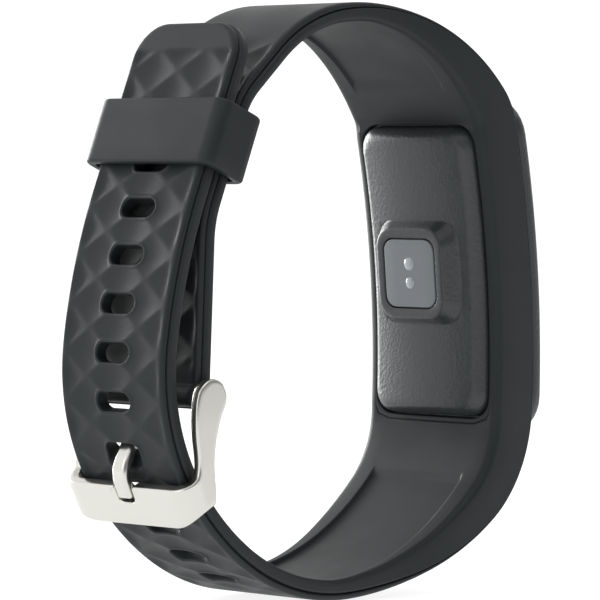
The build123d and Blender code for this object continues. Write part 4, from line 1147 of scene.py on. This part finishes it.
def make_buckle(edge):
    """One-piece buckle: a bent plate with a lug at each end and a notch for the tongue."""
    low, high = buckle_outline()
    columns = 10
    rows = len(low)
    share = np.linspace(0, 1, columns + 1)[1:-1]
    start = low[0] + (high[0] - low[0]) * share[:, None]
    stop = low[-1] + (high[-1] - low[-1]) * share[:, None]
    loop = np.concatenate([low[:1], start, high, stop[::-1], low[:0:-1]])
    normal = inward_normals(loop)
    weave = Weave()

    def place(spots, part):
        out, across = bent_plate(spots[..., 0], part)
        return crossbar_xyz(out, across, spots[..., 1])

    spots = loop + normal * edge
    tops = spots[columns:columns + rows]
    lows = np.concatenate([spots[:1], spots[:columns + rows + columns - 2:-1]])
    grid = lows[:, None] + (tops - lows)[:, None] * np.linspace(0, 1, columns + 1)[:, None]
    grid[0] = spots[:columns + 1]
    edges = []
    for part in (0.0, 1.0):
        numbers = weave.row(place(grid, part)).reshape(rows, columns + 1)
        weave.loops(numbers, closed=False)
        edges.append(np.concatenate([numbers[0], numbers[1:, -1], numbers[-1, -2::-1], numbers[-2:0:-1, 0]]))
    rim = [(edge * (1 - math.sin(turn)), edge / PLATE * (1 - math.cos(turn)))
           for turn in np.radians([20, 40, 60, 80])]
    steps = rim + [(0.0, 0.5)] + [(inset, 1 - part) for inset, part in rim[::-1]]
    rings = [weave.row(place(loop + normal * inset, part)) for inset, part in steps]
    weave.loops([edges[0], *rings, edges[1]])
    return weave.make("buckle_steel", "steel")


def round_bar(radius, y, count):
    """A circle about the spring bar."""
    turns = np.linspace(0, 2 * math.pi, count, endpoint=False)
    return np.stack([BAR[0] + radius * np.cos(turns), np.full(count, y), BAR[1] + radius * np.sin(turns)], -1)


def tongue_spine():
    """The tongue's middle line from the eye to the tip: straight, round the bend, and straight again."""
    bar, bend, tip = np.array(BAR), np.array(TONGUE_BEND) + TONGUE_BOW, np.array(TONGUE_TIP)
    run = (bend - bar) / np.linalg.norm(bend - bar)
    drop = (tip - bend) / np.linalg.norm(tip - bend)
    start, before, after = bar + run * 0.95, bend - run * 2.0, bend + drop * 1.6
    spine = [start + (before - start) * s for s in np.linspace(0, 1, 10)[:-1]]
    spine += [(1 - s) ** 2 * before + 2 * s * (1 - s) * bend + s**2 * after for s in np.linspace(0, 1, 12)]
    spine += [after + (tip - after) * s for s in (0.35, 0.7, 1.0)]
    return np.array(spine)


def make_tongue():
    """The tongue: an eye round the bar, an arched run and a rounded tip."""
    weave = Weave()
    half_y, half_t, tip_round = 1.2, 0.7, 0.5
    spine = tongue_spine()
    ahead = np.gradient(spine, axis=0)
    ahead /= np.linalg.norm(ahead, axis=1, keepdims=True)
    out = np.stack([ahead[:, 1], -ahead[:, 0]], -1)
    if out[0, 0] > 0:
        out = -out
    travel = np.concatenate([[0], np.cumsum(np.linalg.norm(np.diff(spine, axis=0), axis=1))])
    shrink = 1 - 0.15 * smooth(travel, travel[-1] - 4.0, travel[-1])
    sections = [(spot, side, half_y, half_t * share, 0.58) for spot, side, share in zip(spine, out, shrink)]
    for turn in np.radians([25, 50, 72]):
        share = math.cos(turn)
        sections.append((spine[-1] + ahead[-1] * tip_round * math.sin(turn), out[-1],
                         half_y * (0.55 + 0.45 * share), 0.85 * half_t * share, 0.55 * share))
    rings = []
    for spot, side, across, thick, corner in sections:
        t, y = rounded_loop(thick, across, corner, 10, 14)
        rings.append(weave.row(np.stack([spot[0] + side[0] * t, y, spot[1] + side[1] * t], -1)))
    weave.tube(rings)
    inner_radius, outer_radius, bevel, edge = 0.74, 1.43, 0.1, 0.25
    rim = [(outer_radius - edge * (1 - math.cos(turn)), half_y - edge + edge * math.sin(turn))
           for turn in np.radians([0, 30, 60, 90])]
    bore = [(inner_radius + bevel, half_y), (inner_radius, half_y - bevel)]
    section = [(outer_radius, 0.0), *rim, *bore]
    section += [(radius, -y) for radius, y in bore[::-1] + rim[::-1]]
    eye = [weave.row(round_bar(radius, y, 48)) for radius, y in section]
    weave.loops(eye + [eye[0]])
    return weave.make("tongue_steel", "steel")


def bar_cutters():
    """The bore for the spring bar and the notch for the tongue's eye."""
    bore, notch = Weave(), Weave()
    bore.tube([bore.row(round_bar(BORE_RADIUS, y, 40)) for y in (-12.0, 12.0)])
    x, z = rounded_loop(2.75, 3.05, 0.6, 12, 12)
    x, z = BAR[0] + x, BAR[1] - 0.6 + z
    notch.tube([notch.row(np.stack([x, np.full(len(x), y), z], -1)) for y in (-1.6, 1.6)])
    return cutter("bore_cutter", bore), cutter("notch_cutter", notch)


# ------------------------------------------------------------------ operators
class MESH_OT_tracker_band(bpy.types.Operator):
    """Make the silicone band with its slots, dimples, channel and pod room"""

    bl_idname = "mesh.tracker_band"
    bl_label = "Band"
    bl_options = {"REGISTER", "UNDO"}

    def execute(self, context):
        sizes = context.scene.tracker_sizes
        band = make_band()
        tree, ports = relief_tree()
        pressed = band.modifiers.new("Dimples", "NODES")
        pressed.node_group = tree
        pressed[ports["Diamond length"]] = sizes.diamond_length / MM
        pressed[ports["Diamond width"]] = sizes.diamond_width / MM
        pressed[ports["Dimple depth"]] = sizes.dimple_depth
        pressed[ports["Field depth"]] = sizes.field_depth
        pressed[ports["Middle of a diamond"]] = SLOT_USED + SLOT_PITCH / 2
        pressed[ports["Material"]] = material("silicone")
        band = settle(band)
        cutters = bar_cutters()
        for body in cutters:
            cut = band.modifiers.new(body.name, "BOOLEAN")
            cut.operation = "DIFFERENCE"
            cut.solver = "EXACT"
            cut.object = body
        band = settle(band)
        for body in cutters:
            bpy.data.objects.remove(body)
        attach(band, "band")
        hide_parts("band")
        return {"FINISHED"}


class MESH_OT_tracker_keeper(bpy.types.Operator):
    """Make the keeper loop"""

    bl_idname = "mesh.tracker_keeper"
    bl_label = "Keeper"
    bl_options = {"REGISTER", "UNDO"}

    def execute(self, context):
        keeper = make_keeper()
        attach(keeper, "keeper")
        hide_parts("keeper")
        return {"FINISHED"}


class MESH_OT_tracker_buckle(bpy.types.Operator):
    """Make the steel buckle and its tongue"""

    bl_idname = "mesh.tracker_buckle"
    bl_label = "Buckle and tongue"
    bl_options = {"REGISTER", "UNDO"}

    def execute(self, context):
        edge = context.scene.tracker_sizes.steel_edge / MM
        for piece, body, node in ((make_buckle(edge), "buckle", "buckle_frame"),
                                  (make_tongue(), "tongue", "buckle_tongue")):
            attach(piece, body)
            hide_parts(node)
        return {"FINISHED"}


class MESH_OT_tracker_shells(bpy.types.Operator):
    """Make the pod's front housing, front glass and rear cover"""

    bl_idname = "mesh.tracker_shells"
    bl_label = "Pod shells"
    bl_options = {"REGISTER", "UNDO"}

    def execute(self, context):
        cover = stack("rear_cover_shell", "shell", cover_loops(), (44, 40), sharp=60.0)
        housing = stack("front_housing_shell", "shell", housing_loops(), (44, 40))
        lens = stack("front_glass", "glass",
                     plate_loops(LENS_HALF, 4.1, -1.2, -FLANGE_RISE, 0.22, pod_xyz, (11.2, 0.4, 0.3)),
                     (44, 24), caps=True)
        for piece, node, slot in ((cover, "rear_cover", "pod_shell"), (housing, "front_housing", "pod_shell"),
                                  (lens, "front_lens", "front_glass")):
            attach(piece, "pod")
            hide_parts(node)
        return {"FINISHED"}


class MESH_OT_tracker_sensor(bpy.types.Operator):
    """Make the sensor window and its two clear lenses"""

    bl_idname = "mesh.tracker_sensor"
    bl_label = "Heart-rate sensor"
    bl_options = {"REGISTER", "UNDO"}

    def execute(self, context):
        panel = plate_loops((4.42, 4.27), 1.55, BUMP_LEVEL - 0.7, BUMP_LEVEL, 0.12, flat_xyz, (0.4, 0.3, 0.2))
        window = stack("sensor_window_panel", "window", panel, (20, 20), caps=True)
        weave = Weave()
        for along, radius in DOMES:
            place = lambda a, b, d, s=along: flat_xyz(a + s, b, d)
            loops = [(*[radius * s] * 3, BUMP_LEVEL - DOME_FOOT, place) for s in (0.3, 1.0)]
            loops += [(*[radius * s] * 3, BUMP_LEVEL + DOME_HEIGHT * (1 - s * s), place)
                      for s in (1.0, 0.92, 0.8, 0.65, 0.5, 0.33, 0.15)]
            stack("dome", "dome", loops, (10, 10), caps=True, weave=weave)
        domes = weave.make("sensor_lenses", "dome")
        for piece, node, slot in ((window, "sensor_window", "window"), (domes, "sensor_domes", "clear_lens")):
            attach(piece, "pod")
            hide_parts(node)
        return {"FINISHED"}


NODE_FINISHES = {
    "spring_bar_tube": "turned", "spring_bar_pin_near": "turned", "spring_bar_pin_far": "turned",
    "spring_bar_spring": "turned", "board_screws": "turned", "motor_shaft": "turned",
    "lens_adhesive": "adhesive", "display_panel": "display", "display_flex": "polyimide",
    "touch_electrode": "copper", "antenna": "copper", "inner_frame": "nylon",
    "main_board": "board", "battery_protection_board": "board", "sensor_board": "board",
    "board_chips": "chip", "sensor_dies": "chip", "battery": "pouch", "battery_foam_pad": "foam",
    "motor_case": "nickel", "motor_rotor": "nickel", "housing_gasket": "seal", "charging_contacts": "gold",
}


class MESH_OT_tracker_inside(bpy.types.Operator):
    """Finish the CAD pieces that stay: the spring bar and everything inside the pod"""

    bl_idname = "mesh.tracker_inside"
    bl_label = "Inner pieces"
    bl_options = {"REGISTER", "UNDO"}

    def execute(self, context):
        for node, name in NODE_FINISHES.items():
            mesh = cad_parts[node].data
            mesh.materials.clear()
            mesh.materials.append(material(name))
        return {"FINISHED"}


class SCENE_OT_tracker_stage(bpy.types.Operator):
    """Make the studio: floor and backdrop, lights and camera"""

    bl_idname = "scene.tracker_stage"
    bl_label = "Stage"
    bl_options = {"REGISTER", "UNDO"}

    def execute(self, context):
        make_sweep(CAD_BOX[0].z - FLOOR_GAP, context.scene.tracker_colours.floor)
        make_cards()
        for name, spot, size, power, aim in LIGHTS:
            lamp = bpy.data.lights.new(name, "AREA")
            lamp.shape = "RECTANGLE"
            lamp.size, lamp.size_y = size
            lamp.energy = power
            place = bpy.data.objects.new(name, lamp)
            context.scene.collection.objects.link(place)
            place.location = spot
            place.rotation_euler = (Vector(aim) - Vector(spot)).to_track_quat("-Z", "Y").to_euler()
        world = bpy.data.worlds.new("Studio")
        world.use_nodes = True
        world.node_tree.nodes["Background"].inputs["Color"].default_value = paint("#ffffff")
        world.node_tree.nodes["Background"].inputs["Strength"].default_value = WORLD_LIGHT
        context.scene.world = world
        context.scene.view_settings.view_transform = "Standard"
        make_camera(context)
        return {"FINISHED"}


# name, place, size, watts, aim
LIGHTS = (
    ("Key softbox", (-0.62, 0.10, 0.30), (0.45, 0.45), 0.3, (0.0, 0.0, 0.0)),
    ("Back softbox", (0.06, 0.75, 0.1), (0.4, 0.5), 8.0, (0.0, 0.0, 0.0)),
    ("Top strip", (-0.05, 0.0, 0.6), (0.4, 0.25), 0.4, (0.0, 0.0, 0.0)),
)


# Grey cards that stand round the camera for the steel to reflect, as (X, Y) ends in mm.
CARDS = (((-850, -900), (350, -900)), ((250, -900), (900, -350)), ((-1150, -420), (-850, -900)))
CARD_FOOT, CARD_HEIGHT, CARD_THICKNESS = -500.0, 1200.0, 5.0
FLOOR_GAP = 0.0003              # from the band's lowest place down to the floor, in m
WORLD_LIGHT, PAPER_GLOW, PAPER_ROUGHNESS = 0.75, 0.85, 0.9
# The floor's flat radius, the radius of its curve and the top of its wall, in m.
SWEEP_FLAT, SWEEP_CURVE, SWEEP_TOP = 1.5, 1.0, 2.2
SWEEP_STEPS = 96
# Camera: azimuth, elevation and roll in degrees, distance in m, lens and sensor in mm.
CAMERA_TURN, CAMERA_DISTANCE, CAMERA_LENS, CAMERA_SENSOR = (-46.2, 1.78, 0.41), 0.4783, 227.2, 36.0


def paper(key, name, shade, glow):
    """A plain matt finish for the studio."""
    FINISHES[key] = made = bpy.data.materials.new(name)
    made.use_nodes = True
    inputs = made.node_tree.nodes["Principled BSDF"].inputs
    for socket, value in (("Base Color", tuple(shade)), ("Roughness", PAPER_ROUGHNESS),
                          ("Emission Color", paint("#ffffff")), ("Emission Strength", glow)):
        inputs[socket].default_value = value


def make_sweep(level, shade):
    """A floor that curves up into a backdrop all round."""
    weave = Weave()
    turns = np.linspace(0, 2 * math.pi, SWEEP_STEPS, endpoint=False)
    section = [(0.02, 0.0), (0.5, 0.0), (SWEEP_FLAT, 0.0)]
    section += [(SWEEP_FLAT + SWEEP_CURVE * math.sin(turn), SWEEP_CURVE * (1 - math.cos(turn)))
                for turn in np.radians([15, 30, 45, 60, 75, 90])]
    section.append((SWEEP_FLAT + SWEEP_CURVE, SWEEP_TOP))
    rings = []
    for radius, height in section:
        x, y, z = radius * np.cos(turns), radius * np.sin(turns), np.full(SWEEP_STEPS, height + level)
        rings.append(weave.row(np.stack([x, y, z], -1) / MM))
    weave.loops(rings)
    weave.cap(rings[0])
    # Seamless background paper, lit from below: an even pale grey.
    paper("sweep", "Paper sweep", shade, PAPER_GLOW)
    weave.make("studio_sweep", "sweep")


def make_cards():
    """The grey cards."""
    # Grey mounting board: flat and matt.
    paper("card", "Grey card", paint("#7c7c7c"), 0.0)
    for number, (first, last) in enumerate(CARDS):
        card = Weave()
        sheet = np.array([(*first, CARD_FOOT), (*last, CARD_FOOT),
                          (*last, CARD_FOOT + CARD_HEIGHT), (*first, CARD_FOOT + CARD_HEIGHT)])
        card.tube([card.row(sheet), card.row(sheet - (0, CARD_THICKNESS, 0))])
        card.make(f"studio_card_{number}", "card")


def make_camera(context):
    """The camera, level with the band and turned towards its tail."""
    azimuth, elevation, roll = (math.radians(turn) for turn in CAMERA_TURN)
    back = Vector((math.sin(azimuth) * math.cos(elevation), -math.cos(azimuth) * math.cos(elevation),
                   math.sin(elevation)))
    right = Vector((math.cos(azimuth), math.sin(azimuth), 0))
    turned = right * math.cos(roll) + back.cross(right) * math.sin(roll)
    above = back.cross(turned)
    data = bpy.data.cameras.new("Camera")
    data.sensor_width = CAMERA_SENSOR
    data.lens = CAMERA_LENS
    data.clip_start, data.clip_end = 0.01, 10.0
    camera = bpy.data.objects.new("Camera", data)
    context.scene.collection.objects.link(camera)
    axes = Matrix((turned, above, back)).transposed().to_4x4()
    camera.matrix_world = Matrix.Translation(back * CAMERA_DISTANCE) @ axes
    context.scene.camera = camera


OPERATORS = (
    SCENE_OT_tracker_stage, MESH_OT_tracker_band, MESH_OT_tracker_keeper, MESH_OT_tracker_buckle,
    MESH_OT_tracker_shells, MESH_OT_tracker_sensor, MESH_OT_tracker_inside,
)


class VIEW3D_PT_tracker_band(bpy.types.Panel):
    """Lists the pieces and their settings."""

    bl_label = "Tracker Band"
    bl_idname = "VIEW3D_PT_tracker_band"
    bl_space_type = "VIEW_3D"
    bl_region_type = "UI"
    bl_category = "Tracker Band"

    def draw(self, context):
        for group in (context.scene.tracker_sizes, context.scene.tracker_colours):
            for name in group.__annotations__:
                self.layout.prop(group, name)
        for operator in OPERATORS:
            self.layout.operator(operator.bl_idname)


CLASSES = (TrackerSizes, TrackerColours, *OPERATORS, VIEW3D_PT_tracker_band)


def register():
    """Add the settings, operators and panel."""
    for cls in CLASSES:
        bpy.utils.register_class(cls)
    bpy.types.Scene.tracker_sizes = bpy.props.PointerProperty(type=TrackerSizes)
    bpy.types.Scene.tracker_colours = bpy.props.PointerProperty(type=TrackerColours)


def unregister():
    """Take them away again."""
    del bpy.types.Scene.tracker_colours
    del bpy.types.Scene.tracker_sizes
    for cls in reversed(CLASSES):
        bpy.utils.unregister_class(cls)


def main():
    """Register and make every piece."""
    register()
    for operator in OPERATORS:
        family, name = operator.bl_idname.split(".")
        getattr(getattr(bpy.ops, family), name)()


if __name__ == "__main__":
    main()
